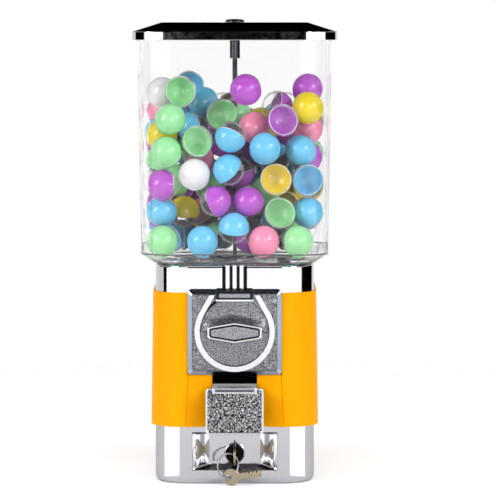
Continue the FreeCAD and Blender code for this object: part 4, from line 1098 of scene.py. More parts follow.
@dataclass
class Lid(Assembly):
    """Chrome lid with a band and a bevelled top, and its round lock."""

    low: float = 443.0
    width: float = 204.0
    corner: float = 32.0
    band: float = 8.6
    rise: float = 8.9
    flat: float = 146.0
    flat_corner: float = 8.0
    under_flat: float = 138.0
    under_corner: float = 6.0
    wall: float = 2.4
    seat: float = 446.3
    room: float = 189.0
    room_corner: float = 29.0
    lock_hole: float = 5.26
    cap_radius: float = 9.6
    cap_height: float = 3.4
    cap_gap: float = 0.1
    barrel_radius: float = 5.2
    barrel_low: float = 424.0
    rod_hole: float = 2.25
    rod_hole_top: float = 441.0
    groove_half: float = 0.7
    groove_depth: float = 1.0

    def build(self) -> None:
        """Make the lid and its lock."""
        blank = Blank()
        brow, roof = self.low + self.band, self.low + self.band + self.rise
        skirt, skirt_corner = self.width - 2 * self.wall, self.corner - self.wall
        blank.skin([
            blank.square(self.width, self.corner, self.low),
            blank.square(self.width, self.corner, brow),
            blank.square(self.flat, self.flat_corner, roof),
            blank.circle(self.lock_hole, roof),
            blank.circle(self.lock_hole, roof - self.wall),
            blank.square(self.under_flat, self.under_corner, roof - self.wall),
            blank.square(self.room, self.room_corner, brow),
            blank.square(self.room, self.room_corner, self.seat),
            blank.square(skirt, skirt_corner, self.seat),
            blank.square(skirt, skirt_corner, self.low),
        ], closed=True)
        blank.fit("lid_pressing", Surface.CHROME, "lid", Edging(0.5, 3, 15), ("lid",))
        self.build_lock(roof + self.cap_gap)

    def build_lock(self, seat: float) -> None:
        """Turn the lock's domed cap and its barrel.

        Args:
            seat: height of the cap's underside.
        """
        cap, top = self.cap_radius, seat + self.cap_height - self.cap_gap
        blank = Blank()
        blank.turn([
            (0.0, top), (cap * 0.5, top - 0.2), (cap * 0.8, top - 0.6), (cap * 0.95, top - 1.2),
            (cap, top - 2.0), (cap, seat), (self.barrel_radius, seat), (self.barrel_radius, self.barrel_low),
            (self.rod_hole, self.barrel_low), (self.rod_hole, self.rod_hole_top), (0.0, self.rod_hole_top),
        ], 56)
        groove = Blank().block((-self.barrel_radius, -self.groove_half, top - self.groove_depth),
                               (self.barrel_radius, self.groove_half, top + 1))
        blank.fit("lid_lock_cap", Surface.BLACK_CHROME, "lid_lock", Edging(0.25, 2, 40), ("lid_lock",),
                  cutters=[groove])


@dataclass
class Neck(Assembly):
    """Chrome neck between the body and the canister, with three reeds on its front."""

    low: float = 184.0
    shoulder: float = 192.0
    shoulder_low: float = 216.4
    top: float = 221.0
    spigot: float = 157.0
    spigot_corner: float = 32.0
    width: float = 159.0
    corner: float = 33.0
    draw_in: float = 2.4
    corner_draw: float = 8.0
    draw_angle: float = math.radians(80)
    draw_steps: int = 8
    bore: float = 153.0
    bore_corner: float = 30.0
    deck: float = 191.0
    ledge: float = 146.0
    ledge_corner: float = 26.0
    notch_half: float = 47.5
    notch_back: float = 60.0
    steps: int = 16
    reed: float = 2.6
    reed_pitch: float = 7.0
    reed_low: float = 195.9
    reed_top: float = 219.6
    reed_root: float = 0.5
    # Half width and standing-off of the black seat painted as shade behind the reeds.
    shade_seat_half: float = 12.4
    shade_seat_proud: float = 0.35

    def build(self) -> None:
        """Make the neck and its reeds, and dress what it carries."""
        blank = Blank()
        sizes = [(self.spigot, self.spigot_corner, self.low),
                 (self.spigot, self.spigot_corner, self.shoulder),
                 (self.width, self.corner, self.shoulder)]
        for step in range(self.draw_steps + 1):
            lean = self.draw_angle * step / self.draw_steps
            share = 1 - math.cos(lean)
            rise = (self.top - self.shoulder_low) * math.sin(lean) / math.sin(self.draw_angle)
            sizes.append((self.width - 2 * self.draw_in * share, self.corner + self.corner_draw * share,
                          self.shoulder_low + rise))
        sizes += [(self.bore, self.bore_corner, self.top), (self.bore, self.bore_corner, self.deck),
                  (self.ledge, self.ledge_corner, self.deck), (self.ledge, self.ledge_corner, self.low)]
        blank.skin([blank.square(*size, self.steps) for size in sizes], closed=True)
        notch = Blank().block((-self.notch_half, -self.width / 2 - 2, self.low - 2),
                              (self.notch_half, -self.notch_back, self.shoulder))
        blank.fit("neck_plated", Surface.CHROME, "machine", Edging(0.4, 2, 40), ("neck_housing",),
                  cutters=[notch])
        self.build_reeds()
        dress(Surface.STEEL_POLISHED, "wheel_deck")
        dress(Surface.STEEL, "tie_bolts", "tie_nuts")

    def build_reeds(self) -> None:
        """Stand three half-round reeds on a black seat against the front, which is painted shade for the dark
        grooves beside them.
        """
        front = -self.width / 2
        # The black seat is painted shade: a dark backing where the grooves beside the reeds only mirror dark.
        seat = Blank().block((-self.shade_seat_half, front - self.shade_seat_proud, self.reed_low),
                             (self.shade_seat_half, front + 1.5, self.reed_top - 1))
        seat.fit("reed_shade_seat", Surface.LOCK_BLACK, "machine", Edging(0.15, 2, 40))
        blank = Blank()
        for number in (-1, 0, 1):
            spot = (number * self.reed_pitch, front)
            blank.solid([blank.circle(self.reed, height, 28, spot)
                         for height in (self.reed_low, self.reed_top)])
        blank.trim((0, front + self.reed_root, 0), (0, 1, 0))
        blank.close()
        blank.fit("neck_reeds", Surface.CHROME, "machine", Edging(0.5, 3, 60))


@dataclass
class Body(Assembly):
    """Yellow enamelled body: a tapered square tube with a panel scooped round the door.

    Attributes:
        front: how far before the middle a point has to be to count as the front.
        crease_top: how far the crease beside the door lies from the middle at the notch.
        crease_low: the same at the foot.
        crease_half: half of the crease's width.
        scoop: depth of the scoop behind the front.
        scoop_tall: height over which it deepens.
        scoop_wide: width over which it deepens.
        step: how far the panel stands proud at the crease.
    """

    low: float = 58.0
    top: float = 192.0
    low_width: float = 168.0
    top_width: float = 164.0
    corner: float = 35.0
    wall: float = 3.0
    steps: int = 16
    hatch: Pair = (92.0, 111.0)
    hatch_middle: Pair = (0.0, 10.5)
    hatch_corner: float = 1.0
    notch_half: float = 47.15
    notch_low: float = 110.35
    notch_back: float = 70.0
    gate_half: float = 22.4
    gate_back: float = 40.0
    cut_front: float = 90.0
    bolt_spot: float = 54.0
    bolt_hole: float = 2.7
    front: float = 77.0
    crease_top: float = 46.2
    crease_low: float = 49.0
    crease_half: float = 0.4
    groove: float = 0.9
    scoop: float = 6.0
    scoop_tall: float = 46.0
    scoop_wide: float = 26.0
    scoop_power: float = 1.4
    step: float = 0.6

    def build(self) -> None:
        """Make the shell, scoop its front and cut its openings."""
        blank = Blank()
        floor, inner = self.low + self.wall, self.corner - self.wall
        blank.skin([
            blank.square(self.low_width, self.corner, self.low, self.steps),
            blank.square(self.top_width, self.corner, self.top, self.steps),
            blank.square(self.top_width - 2 * self.wall, inner, self.top, self.steps),
            blank.square(self.low_width - 2 * self.wall, inner, floor, self.steps),
            blank.ring(self.hatch, self.hatch_corner, floor, self.hatch_middle, self.steps),
            blank.ring(self.hatch, self.hatch_corner, self.low, self.hatch_middle, self.steps),
        ], closed=True)
        self.shape_front(blank)
        cutters = [
            Blank().block((-self.notch_half, -self.cut_front, self.notch_low),
                          (self.notch_half, -self.notch_back, self.top + 5)),
            Blank().block((-self.gate_half, -self.cut_front, self.low - 5),
                          (self.gate_half, -self.gate_back, self.notch_low + 0.15)),
        ]
        for across in (-self.bolt_spot, self.bolt_spot):
            for back in (-self.bolt_spot, self.bolt_spot):
                hole = Blank()
                hole.solid([hole.circle(self.bolt_hole, height, 24, (across, back))
                            for height in (self.low - 2, floor + 3)])
                cutters.append(hole)
        blank.fit("body_shell_enamelled", Surface.ENAMEL, "machine", Edging(0.7, 3, 40), ("body_shell",),
                  cutters=cutters)

    def shape_front(self, blank: Blank) -> None:
        """Crease the front below the coin plate and scoop it towards the door.

        Args:
            blank: the closed shell.
        """
        slope = (self.crease_top - self.crease_low) / (self.notch_low - self.low)
        scored = -self.front - 1
        for side in (-1, 1):
            for shift in (self.crease_half, 0.0, -self.crease_half):
                blank.split(((self.crease_low + shift) * side, 0, self.low), (side, 0, -slope), scored)
            for across in (24, 28, 32, 36, 40, 44):
                blank.split((across * side, 0, 0), (1, 0, 0), scored)
        for height in (64, 72, 80, 88, 96, 104, self.notch_low - 0.4):
            blank.split((0, 0, height), (0, 0, 1), scored)
        for vert in blank.bm.verts:
            if vert.co.y >= -self.front or vert.co.z >= self.notch_low - 0.2:
                continue
            inside = self.crease_low + slope * (vert.co.z - self.low) - abs(vert.co.x)
            if abs(inside) < 0.1:
                vert.co.y += self.groove
            elif inside > 0.2:
                down = min(1.0, (self.notch_low - vert.co.z) / self.scoop_tall)
                down = down * down * (3 - 2 * down)
                near = min(1.0, inside / self.scoop_wide)
                vert.co.y += self.scoop * down * near ** self.scoop_power - self.step * min(1.0, down * 8)


@dataclass
class Base(Assembly):
    """Satin chrome cash base with a rounded skirt and an opening for the drawer."""

    low: float = 0.5
    top: float = 58.0
    width: float = 160.0
    corner: float = 34.0
    skirt: float = 7.0
    skirt_inset: float = 4.2
    skirt_steps: int = 6
    wall: float = 3.0
    sill: float = 12.0
    plate: float = 135.4
    plate_corner: float = 24.2
    hatch: Pair = (92.0, 111.0)
    hatch_middle: Pair = (0.0, 10.5)
    hatch_corner: float = 1.0
    gate_half: float = 42.55
    gate: Pair = (13.85, 52.35)
    gate_back: float = 62.0
    spout_half: float = 22.4
    spout_back: float = 64.0
    cut_front: float = 85.0
    steps: int = 16

    def build(self) -> None:
        """Make the shell, and dress the floor and feet."""
        blank = Blank()
        inner, inner_corner = self.width - 2 * self.wall, self.corner - self.wall
        loops = []
        for step in range(self.skirt_steps + 1):
            lean = math.radians(90) * step / self.skirt_steps
            inset = self.skirt_inset * (1 - math.sin(lean))
            height = self.low + self.skirt * (1 - math.cos(lean))
            loops.append(blank.square(self.width - 2 * inset, self.corner - inset, height, self.steps))
        for height in (self.low + self.skirt + 1, self.top - 1.5, self.top):
            loops.append(blank.square(self.width, self.corner, height, self.steps))
        for height in (self.top, self.top - self.wall):
            loops.append(blank.ring(self.hatch, self.hatch_corner, height, self.hatch_middle, self.steps))
        for height in (self.top - self.wall, self.sill):
            loops.append(blank.square(inner, inner_corner, height, self.steps))
        for height in (self.sill, self.low):
            loops.append(blank.square(self.plate, self.plate_corner, height, self.steps))
        blank.skin(loops, closed=True)
        low, top = self.gate
        gate = Blank().block((-self.gate_half, -self.cut_front, low), (self.gate_half, -self.gate_back, top))
        spout = Blank().block((-self.spout_half, -self.cut_front, top - 1),
                              (self.spout_half, -self.spout_back, self.top + 3))
        blank.fit("base_shell_plated", Surface.SATIN, "machine", Edging(0.5, 2, 40), ("base_shell",),
                  cutters=[gate, spout])
        dress(Surface.STEEL, "base_plate")
        refine("rubber_feet", Surface.RUBBER, Edging(0.4, 2, 40))
        dress(Surface.NYLON, "drawer_runners")


@dataclass
class CoinFront(Assembly):
    """Coin plate with its pebbled field, horseshoe rim, coin hood, dial and grip.

    Pieces are laid flat first: across, up, and outwards from the machine's middle.

    Attributes:
        corners: the plate's corner radii, at its edge, its frame's two sides and its field.
        grip_rim: inset, corner and drop below the grip's face of each loop over the grip's rim.
        swell: how far the dial swells out above the grip.
        lip: width and height of the bright bar below the hood.
        guide: width and height of the coin guide behind it.
    """

    half: float = 47.0
    low: float = 110.5
    top: float = 195.5
    back: float = 80.0
    face: float = 88.0
    corners: tuple[float, ...] = (4.0, 1.8, 1.6, 1.5)
    bevel: float = 3.0
    bevel_wide: float = 4.3
    frame: float = 0.3
    sink: float = 0.6
    field_margin: float = 0.9
    field_lift: float = 0.3
    axis: float = 154.0
    well: float = 34.7
    well_gap: float = 0.8
    well_floor: float = 83.5
    bore: float = 4.05
    dial: float = 34.3
    dial_rim: float = 1.2
    dial_face: float = 89.6
    dial_sink: float = 0.15
    dial_back: float = 83.8
    dial_steps: int = 220
    grip_half: float = 27.2
    grip_mid: float = 10.5
    grip_end: float = 5.7
    grip_face: float = 101.5
    grip_corner: float = 2.4
    grip_rim: tuple[tuple[float, float, float], ...] = (
        (0.1, 2.4, 1.0), (0.3, 2.3, 0.3), (0.6, 2.2, 0.012), (1.2, 2.0, 0.0), (1.8, 1.8, 0.012),
        (2.1, 1.6, 0.3), (2.3, 1.4, 1.0))
    groove_inset: float = 2.5
    groove_corner: float = 1.0
    groove_depth: float = 3.0
    # Half the thickness of the near-black slab painted as shade in the grip's groove.
    groove_half: float = 0.2
    field_inset: float = 3.7
    field_depth: float = 1.1
    field_drop: float = 0.25
    pebble: float = 1.0
    pebble_depth: float = 0.3
    cell: float = 0.55
    swell: float = 4.6
    swell_reach: float = 11.0
    swell_half: float = 33.0
    lip: Pair = (37.4, 2.3)
    lip_up: float = 185.8
    guide: Pair = (31.0, 4.2)
    guide_up: float = 190.4

    def build(self) -> None:
        """Make the plate, the dial and the grip, and refine the rest."""
        self.build_plate()
        self.build_field()
        self.build_dial()
        self.build_grip()
        self.build_grip_field()
        build_bar("coin_hood_lip", Surface.ZINC_BRIGHT, "machine", Edging(0.35, 2, 50), self.lip, 0.9,
                  self.lip_up, (91.0, 96.6))
        build_bar("coin_guide", Surface.ZINC_FINE, "machine", Edging(0.3, 2, 50), self.guide, 1.2,
                  self.guide_up, (95.6, 96.4))
        refine("coin_rim", Surface.ZINC_BRIGHT, Edging(1.6, 4, 40))
        refine("coin_hood", Surface.ZINC_DARK, Edging(0.5, 2, 40))
        refine("corner_screw", Surface.STEEL, Edging(0.25, 2, 40))

    def build_plate(self) -> None:
        """Bevelled plate with a raised frame, a sunk field and a round well."""
        blank = Blank()
        wide, tall = 2 * self.half, self.top - self.low
        middle, hub = (0.0, (self.top + self.low) / 2), (0.0, self.axis)
        frame, deep = 2 * (self.bevel_wide + self.frame), self.face - self.sink
        edge, outer, inner, field = self.corners
        blank.skin([
            *[blank.ring((wide - inset, tall - inset), corner, height, middle) for inset, corner, height in (
                (0, edge, self.back), (0, edge, self.face - self.bevel),
                (2 * self.bevel_wide, outer, self.face), (frame, inner, self.face),
                (frame + self.sink, field, deep))],
            blank.circle(self.well, deep, middle=hub),
            blank.circle(self.well, self.well_floor, middle=hub),
            blank.circle(self.bore, self.well_floor, middle=hub),
            blank.circle(self.bore, self.back, middle=hub),
        ], closed=True)
        blank.place(FRONT)
        blank.fit("coin_plate_casting", Surface.ZINC_FRAME, "machine", Edging(0.25, 2, 25), ("coin_plate",))

    def build_field(self) -> None:
        """Pebbled skin over the plate's sunk field, open round the dial."""
        blank = Blank()
        inset = 2 * (self.bevel_wide + self.frame) + self.field_margin
        depth = self.face - self.sink + self.field_lift
        blank.grid((2 * self.half - inset, self.top - self.low - inset), self.cell,
                   (0, (self.top + self.low) / 2, depth))
        hub, reach = Vector((0, self.axis, depth)), self.well + self.well_gap
        inside = [face for face in blank.bm.faces if (face.calc_center_median() - hub).length < reach]
        bmesh.ops.delete(blank.bm, geom=inside, context="FACES")
        blank.roughen(self.pebble_depth, self.pebble, Seed.PLATE)
        blank.place(FRONT)
        blank.fit("coin_plate_field", Surface.ZINC_PEBBLE, "machine", Edging(0, 1, 80, 0.2), sheet=True)

    def build_dial(self) -> None:
        """Turned dial with a plain rim round its pebbled face."""
        blank = Blank()
        rim, face = self.dial - self.dial_rim, self.dial_face - self.dial_sink
        rings = [rim - self.cell * step for step in range(int((rim - self.bore) / self.cell))]
        blank.turn([(self.bore, self.dial_back), (self.dial, self.dial_back), (self.dial, face - 0.4),
                    (self.dial - 0.5, self.dial_face), (rim + 0.3, self.dial_face),
                    *[(radius, face) for radius in rings], (self.bore, face)], self.dial_steps, closed=True)
        skin = [vert for vert in blank.bm.verts
                if vert.co.z > face - 0.01 and self.bore + 0.1 < vert.co.xy.length < rim - 0.1]
        blank.roughen(self.pebble_depth * 0.9, self.pebble, Seed.DIAL, skin)
        for vert in skin:
            vert.co.z += self.swell_at(vert.co.x, vert.co.y)
        blank.place(FRONT @ Matrix.Translation((0, self.axis, 0)))
        blank.fit("coin_dial_casting", Surface.ZINC_PEBBLE, "handle", Edging(0.2, 2, 50), ("coin_dial",))

    def swell_at(self, across: float, up: float) -> float:
        """Give how far the dial swells out towards the upper side of the grip."""
        brow = self.grip_mid + (self.grip_end - self.grip_mid) * min(1.0, abs(across) / self.grip_half)
        near = max(0.0, up - brow) / self.swell_reach
        aside = min(1.0, abs(across) / self.swell_half)
        if up < 0 or near > 1:
            return 0.0
        return self.swell * (1 - near) ** 2 * (1 - aside ** 4)

    def grip_outline(self, inset: float) -> list[Pair]:
        """Give the six corners of the grip, drawn in by an inset."""
        long, mid, end = self.grip_half - inset, self.grip_mid - inset, self.grip_end - inset * 0.75
        return [(-long, -end), (0, -mid), (long, -end), (long, end), (0, mid), (-long, end)]

    def build_grip(self) -> None:
        """Six-sided grip with a bright raised rim, and a dark floor in the groove inside it as painted shade.
        """
        floor, lift = self.grip_face - self.groove_depth, FRONT @ Matrix.Translation((0, self.axis, 0))
        blank, groove = Blank(), Blank()
        blank.solid([
            blank.polygon(self.grip_outline(0.0), self.grip_corner, self.dial_face),
            *[blank.polygon(self.grip_outline(inset), corner, self.grip_face - drop)
              for inset, corner, drop in self.grip_rim],
            blank.polygon(self.grip_outline(self.groove_inset), self.groove_corner, floor),
        ])
        blank.place(lift)
        blank.fit("dial_grip_casting", Surface.ZINC_BRIGHT, "handle", Edging(0.2, 2, 40), ("dial_grip",))
        # The groove's floor is a near-black slab: painted shade where the rim shadows the groove.
        outline = self.grip_outline(self.groove_inset - 0.05)
        groove.solid([groove.polygon(outline, self.groove_corner, floor + up)
                      for up in (-self.groove_half, self.groove_half)])
        groove.place(lift)
        groove.fit("dial_grip_groove_painted_shade", Surface.ZINC_DARK, "handle", Edging(0, 1, 40))

    def build_grip_field(self) -> None:
        """Pebbled plate that stands inside the grip's groove."""
        blank = Blank()
        corners = [Vector((*corner, 0)) for corner in self.grip_outline(self.field_inset)]
        blank.grid((2 * corners[2].x, 2 * corners[4].y), self.cell)
        for near, far in zip(corners, corners[1:] + corners[:1]):
            blank.trim(near, (far - near).cross(Vector((0, 0, 1))))
        blank.roughen(self.pebble_depth * 0.5, self.pebble, Seed.GRIP)
        depth = self.grip_face - self.field_depth
        blank.place(FRONT @ Matrix.Translation((0, self.axis - self.field_drop, depth)))
        blank.fit("dial_grip_field", Surface.ZINC_FINE, "handle",
                  Edging(0, 1, 60, self.groove_depth - self.field_depth), sheet=True)


@dataclass
class Chute(Assembly):
    """Capsule chute with its hinge bracket and the hammered door."""

    half: float = 28.8
    low: float = 52.9
    top: float = 99.2
    corner: float = 4.2
    back: float = 100.6
    face: float = 102.0
    border: float = 2.0
    border_steps: int = 8
    floor: float = 101.3
    hammer: float = 1.7
    hammer_depth: float = 0.4
    hammer_lift: float = 0.2
    cell: float = 0.6
    corner_cut: float = 1.1
    leaf_half: float = 22.4
    leaf_low: float = 93.4
    leaf_up: float = 0.8

    def build(self) -> None:
        """Refine the door and its hinge, and lay the hammered field."""
        dress(Surface.CHUTE_BLACK, "capsule_chute")
        refine("hinge_bracket", Surface.PASSIVATED, Edging(0.3, 2, 40))
        dress(Surface.STEEL, "hinge_pin")
        refine("chute_door", Surface.ZINC_BRIGHT, Edging(0.2, 2, 40), self.back)
        self.build_rim()
        self.build_field()
        self.build_leaf()

    def build_rim(self) -> None:
        """Front of the door: a round bright rim about a shallow dish."""
        blank = Blank()
        middle = (0.0, (self.top + self.low) / 2)
        wide, tall = 2 * self.half, self.top - self.low
        loops = [blank.ring((wide, tall), self.corner, self.back, middle)]
        for step in range(self.border_steps + 1):
            lean = math.pi * step / self.border_steps
            inset = self.border / 2 * (1 - math.cos(lean))
            depth = self.floor + (self.face - self.floor - 0.02) * math.sin(lean)
            loops.append(blank.ring((wide - 2 * inset, tall - 2 * inset), self.corner - inset, depth, middle))
        blank.solid(loops)
        blank.place(FRONT)
        blank.fit("chute_door_front", Surface.ZINC_BRIGHT, "door", Edging(0, 1, 50))

    def build_field(self) -> None:
        """Hammered skin in the door's shallow dish, with its corners cut off."""
        blank = Blank()
        wide, tall = 2 * (self.half - self.border) + 0.6, self.top - self.low - 2 * self.border + 0.6
        middle = (self.top + self.low) / 2
        blank.grid((wide, tall), self.cell, (0, middle, self.floor + self.hammer_lift))
        across, up = wide / 2 - self.corner_cut, tall / 2 - self.corner_cut
        for side in (-1, 1):
            for head in (-1, 1):
                blank.trim((side * across, middle + head * up, 0), (side, head, 0))
        blank.roughen(self.hammer_depth, self.hammer, Seed.DOOR)
        blank.place(FRONT)
        blank.fit("chute_door_field", Surface.HAMMERED, "door", Edging(0, 1, 80, 0.2), sheet=True)

    def build_leaf(self) -> None:
        """Hinge leaf across the door's head: a bright frame round a plain grey panel."""
        blank = Blank()
        wide, tall = 2 * self.leaf_half, self.top - self.leaf_low
        middle = (self.top + self.leaf_low) / 2
        inner = middle + self.leaf_up
        blank.solid([blank.ring((wide - narrower, tall - lower), corner, depth, (0.0, up), 4)
                     for narrower, lower, corner, depth, up in (
                         (0, 0, 0.6, self.floor - 0.3, middle), (0, 0, 0.6, self.face - 0.35, middle),
                         (0.6, 0.6, 0.5, self.face - 0.05, middle), (6.0, 1.7, 0.4, self.face - 0.05, inner),
                         (6.6, 1.9, 0.2, self.face - 0.5, inner))])
        blank.place(FRONT)
        blank.fit("hinge_leaf", Surface.ZINC_BRIGHT, "door", Edging(0.12, 2, 40))
        build_bar("hinge_leaf_panel", Surface.ZINC_DULL, "door", Edging(0.06, 2, 40),
                  (wide - 6.8, tall - 2.1), 0.2, inner, (self.face - 0.6, self.face - 0.1))


@dataclass
class Drawer(Assembly):
    """Cash drawer: front with a curved recess, tray, lock and keys."""

    half: float = 42.4
    low: float = 14.0
    top: float = 52.2
    face: float = 80.0
    panel: float = 66.0
    back: float = 62.0
    panel_half: float = 24.5
    panel_low: float = 18.8
    panel_top: float = 50.0
    corner: float = 3.0
    recess_corner: float = 2.5
    panel_corner: float = 1.0
    edge: float = 0.2
    edge_step: float = 0.15
    sweep_steps: int = 10
    sweep_curve: float = 0.45
    # Inset and lift of the black strip painted as shade on the recess floor.
    shade_strip_inset: float = 1.5
    shade_strip_lift: float = 0.12
    lock_height: float = 29.7
    lock_hole: float = 8.03
    lock_barrel: float = 8.0
    lock_back: float = 44.0
    lock_face: float = 9.3
    lock_front: float = 69.5
    plug_hole: float = 5.05
    bezel: float = 10.6
    bezel_gap: float = 0.05
    round_steps: int = 56

    def build(self) -> None:
        """Make the front and the lock, and refine what is behind and on it."""
        self.build_front()
        self.build_lock()
        dress(Surface.STEEL, "drawer_tray", "lock_nut", "lock_cam", "cam_screw")
        refine("drawer_key", Surface.NICKEL, Edging(0.35, 2, 40))
        refine("spare_key", Surface.NICKEL, Edging(0.3, 2, 40))
        refine("key_ring", Surface.STEEL, Edging(0, 1, 60))
        refine("lock_plug", Surface.LOCK_BLACK, Edging(0.2, 2, 40))

    def build_front(self) -> None:
        """Front whose recess sweeps in an S from the face to the lock's panel, with a black strip on its
        floor as painted shade.
        """
        blank, shade_strip, sill = Blank(), Blank(), []
        middle, hub = (0.0, (self.top + self.low) / 2), (0.0, self.lock_height)
        wide, tall, chamfer = 2 * self.half, self.top - self.low, 2 * self.edge_step
        loops = [
            blank.ring((wide, tall), self.corner, self.back, middle),
            blank.ring((wide, tall), self.corner, self.face - self.edge_step, middle),
            blank.ring((wide - chamfer, tall - chamfer), self.corner - self.edge, self.face, middle),
        ]
        half_at, low_at, top_at = self.half - self.edge, self.low + self.edge, self.top - self.edge
        for step in range(1, self.sweep_steps + 1):
            share = step / self.sweep_steps
            sweep = self.sweep_curve * share * share * (3 - 2 * share) + (1 - self.sweep_curve) * share
            across = half_at + (self.panel_half - half_at) * share
            low = low_at + (self.panel_low - low_at) * share
            top = top_at + (self.panel_top - top_at) * share
            depth = self.face + (self.panel - self.face) * sweep
            corner = self.recess_corner + (self.panel_corner - self.recess_corner) * share
            loops.append(blank.ring((2 * across, top - low), corner, depth, (0.0, (top + low) / 2)))
            sill.append([shade_strip.bm.verts.new((side * (across - self.shade_strip_inset), low + self.shade_strip_lift,
                                             depth + self.shade_strip_lift)) for side in (-1, 1)])
        loops += [blank.circle(self.lock_hole, depth, middle=hub) for depth in (self.panel, self.back)]
        blank.skin(loops, closed=True)
        blank.place(FRONT)
        blank.fit("drawer_front_plated", Surface.SATIN, "drawer", Edging(0.1, 2, 50), ("drawer_front",))
        # The black strip on the recess floor is painted shade, where the panel's foot only falls in shadow.
        for near, far in zip(sill, sill[1:]):
            shade_strip.bm.faces.new([near[0], near[1], far[1], far[0]])
        shade_strip.place(FRONT)
        shade_strip.fit("drawer_sill_painted_shade", Surface.LOCK_BLACK, "drawer", Edging(0, 1, 50, 0.1), sheet=True)

    def build_lock(self) -> None:
        """Black lock face in a bright collar."""
        lift = FRONT @ Matrix.Translation((0, self.lock_height, 0))
        face, collar = Blank(), Blank()
        plug, barrel, rim, front = self.plug_hole, self.lock_barrel, self.lock_face, self.lock_front
        gap = rim + self.bezel_gap
        face.turn([(plug, self.lock_back), (barrel, self.lock_back), (barrel, self.panel),
                   (rim, self.panel + 0.1), (rim, front - 0.6), (rim - 0.8, front - 0.1), (plug + 1.4, front),
                   (plug + 1.0, front - 0.4), (plug, front - 0.4)], self.round_steps, closed=True)
        face.place(lift)
        face.fit("lock_body_black", Surface.LOCK_BLACK, "drawer", Edging(0.2, 2, 40), ("lock_barrel",))
        collar.turn([(gap, self.panel), (self.bezel, self.panel), (self.bezel - 0.15, front - 1.9),
                     (self.bezel - 0.6, front - 0.7), (self.bezel - 0.95, front - 0.3), (gap, front - 0.3)],
                    self.round_steps, closed=True)
        collar.place(lift)
        collar.fit("lock_collar", Surface.CHROME, "drawer", Edging(0.15, 2, 40))


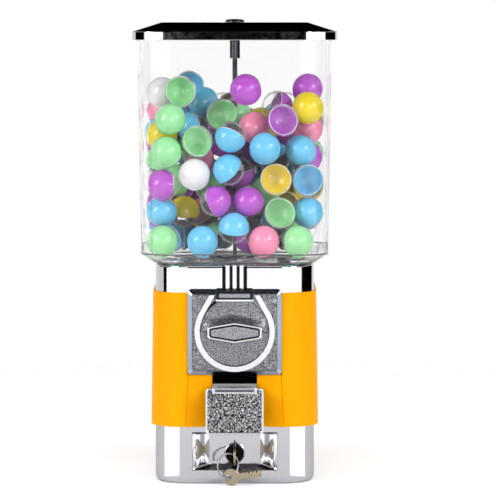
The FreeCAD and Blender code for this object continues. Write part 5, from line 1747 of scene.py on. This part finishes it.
@dataclass
class Capsules(Assembly):
    """Two-part capsules: half shells in five colours, each closed by a clear half shell."""

    radius: float = 15.75
    wall: float = 1.0
    round_faces: int = 20
    rows: int = 8
    lip: float = 15.4
    lip_height: float = 0.6
    lip_wall: float = 0.55
    twin_gap: float = 3.0

    def build(self) -> None:
        """Stand light half shells where the CAD has its capsules, with a pale lip where two halves meet."""
        for colour in (Surface.BLUE, Surface.PURPLE, Surface.MINT, Surface.YELLOW, Surface.PINK):
            node = f"capsules_{colour.name.lower()}"
            self.fill(f"{node}_shells", colour, self.places(node), self.half_shell(), self.wall, (node,))
        clear = self.places("capsules_clear")
        whole = [spot for spot in clear if self.has_twin(spot, clear)]
        halves = [spot for spot in clear if spot not in whole]
        self.fill("capsules_clear_shells", Surface.SHELL, halves, self.half_shell(), self.wall,
                  ("capsules_clear",))
        self.fill("capsules_milky_shells", Surface.MILK, whole, self.half_shell(), self.wall)
        self.fill("capsules_lips", Surface.LIP, halves, self.lip_ring(), self.lip_wall)

    def has_twin(self, spot: Matrix, others: Sequence[Matrix]) -> bool:
        """Tell whether another half shell of the same kind closes this one."""
        near = [other for other in others if (other.translation - spot.translation).length < self.twin_gap]
        return len(near) > 1

    def fill(self, name: str, surface: Surface, spots: Sequence[Matrix], pattern: bpy.types.Mesh, wall: float,
             stands_for: Sequence[str] = ()) -> None:
        """Make one piece of many copies of a pattern.

        Args:
            name: the piece's name.
            surface: its finish.
            spots: where each copy goes.
            pattern: an open sheet in millimetres, which is used up.
            wall: its thickness.
            stands_for: the CAD nodes that the piece replaces.
        """
        blank = Blank()
        for spot in spots:
            before = len(blank.bm.verts)
            blank.bm.from_mesh(pattern)
            blank.place(spot, before)
        bpy.data.meshes.remove(pattern)
        blank.fit(name, surface, "machine", Edging(0, 1, 80, wall), stands_for, sheet=True)

    def half_shell(self) -> bpy.types.Mesh:
        """Make one open half shell about its own centre, dome upwards."""
        blank = Blank()
        bmesh.ops.create_uvsphere(blank.bm, u_segments=self.round_faces, v_segments=self.rows,
                                  radius=self.radius)
        blank.trim((0, 0, 0), (0, 0, -1))
        return blank.to_mesh("half_shell", sheet=True, scale=1.0)

    def lip_ring(self) -> bpy.types.Mesh:
        """Make the lip at the foot of one half shell."""
        blank = Blank()
        blank.skin([blank.circle(self.lip, height, self.round_faces) for height in (0, self.lip_height)])
        return blank.to_mesh("lip_ring", sheet=True, scale=1.0)

    def places(self, node: str) -> list[Matrix]:
        """Find where each half shell of a CAD node sits and where its dome points.

        Args:
            node: the CAD node's name.

        Returns:
            One placing for each half shell, in millimetres.
        """
        bm = bmesh.new()
        bm.from_mesh(bpy.data.objects[node].data)
        bmesh.ops.remove_doubles(bm, verts=bm.verts, dist=1e-6)
        bm.verts.index_update()
        seen, found = set(), []
        for start in bm.verts:
            if start.index in seen:
                continue
            island, queue = [], [start]
            seen.add(start.index)
            while queue:
                vert = queue.pop()
                island.append(vert.co)
                for edge in vert.link_edges:
                    other = edge.other_vert(vert)
                    if other.index not in seen:
                        seen.add(other.index)
                        queue.append(other)
            found.append(self.placing(np.array(island) / METRES))
        bm.free()
        return found

    def placing(self, points: np.ndarray) -> Matrix:
        """Work out one half shell's centre and pointing from its points.

        Args:
            points: the shell's points, in millimetres.

        Returns:
            Its placing.
        """
        mean = points.mean(0)
        spread, axes = np.linalg.eigh(np.cov((points - mean).T))
        lone = 2 if spread[2] - spread[1] > spread[1] - spread[0] else 0
        axis = axes[:, lone]
        along = (points - mean) @ axis
        wide = np.linalg.norm(points - mean - np.outer(along, axis), axis=1)
        if wide[along.argmin()] < wide[along.argmax()]:
            axis, along = -axis, -along
        centre = Vector(mean + axis * along.min())
        return Matrix.Translation(centre) @ Vector(axis).to_track_quat("Z", "Y").to_matrix().to_4x4()


class Works(Assembly):
    """Drive and coin works inside the shells, whose CAD shapes are right as they are."""

    def build(self) -> None:
        """Dress the works."""
        dress(Surface.STEEL_BLACK, "coin_slide")
        dress(Surface.STEEL, "discharge_baffle", "mech_bracket", "mech_screws", "idler_pin", "pawl_pin",
              "handle_shaft", "ratchet_wheel", "shaft_nut", "pawl")
        dress(Surface.ZINC_FRAME, "mech_housing", "coin_carrier")
        dress(Surface.BRASS, "wheel_bush", "drive_pinion", "idler_gear")
        dress(Surface.NYLON, "dispensing_wheel", "crown_gear", "wheel_cap")


def main() -> None:
    """Load the frame and build the sub-assemblies in order, logging each one."""
    logging.basicConfig(level=logging.INFO, format="%(message)s")
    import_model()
    for assembly in (Studio(), Base(), Drawer(), Body(), CoinFront(), Chute(), Neck(), Works(), Capsules(),
                     Canister(), Lid()):
        LOG.info("building %s", type(assembly).__name__)
        assembly.build()


if __name__ == "__main__":
    main()
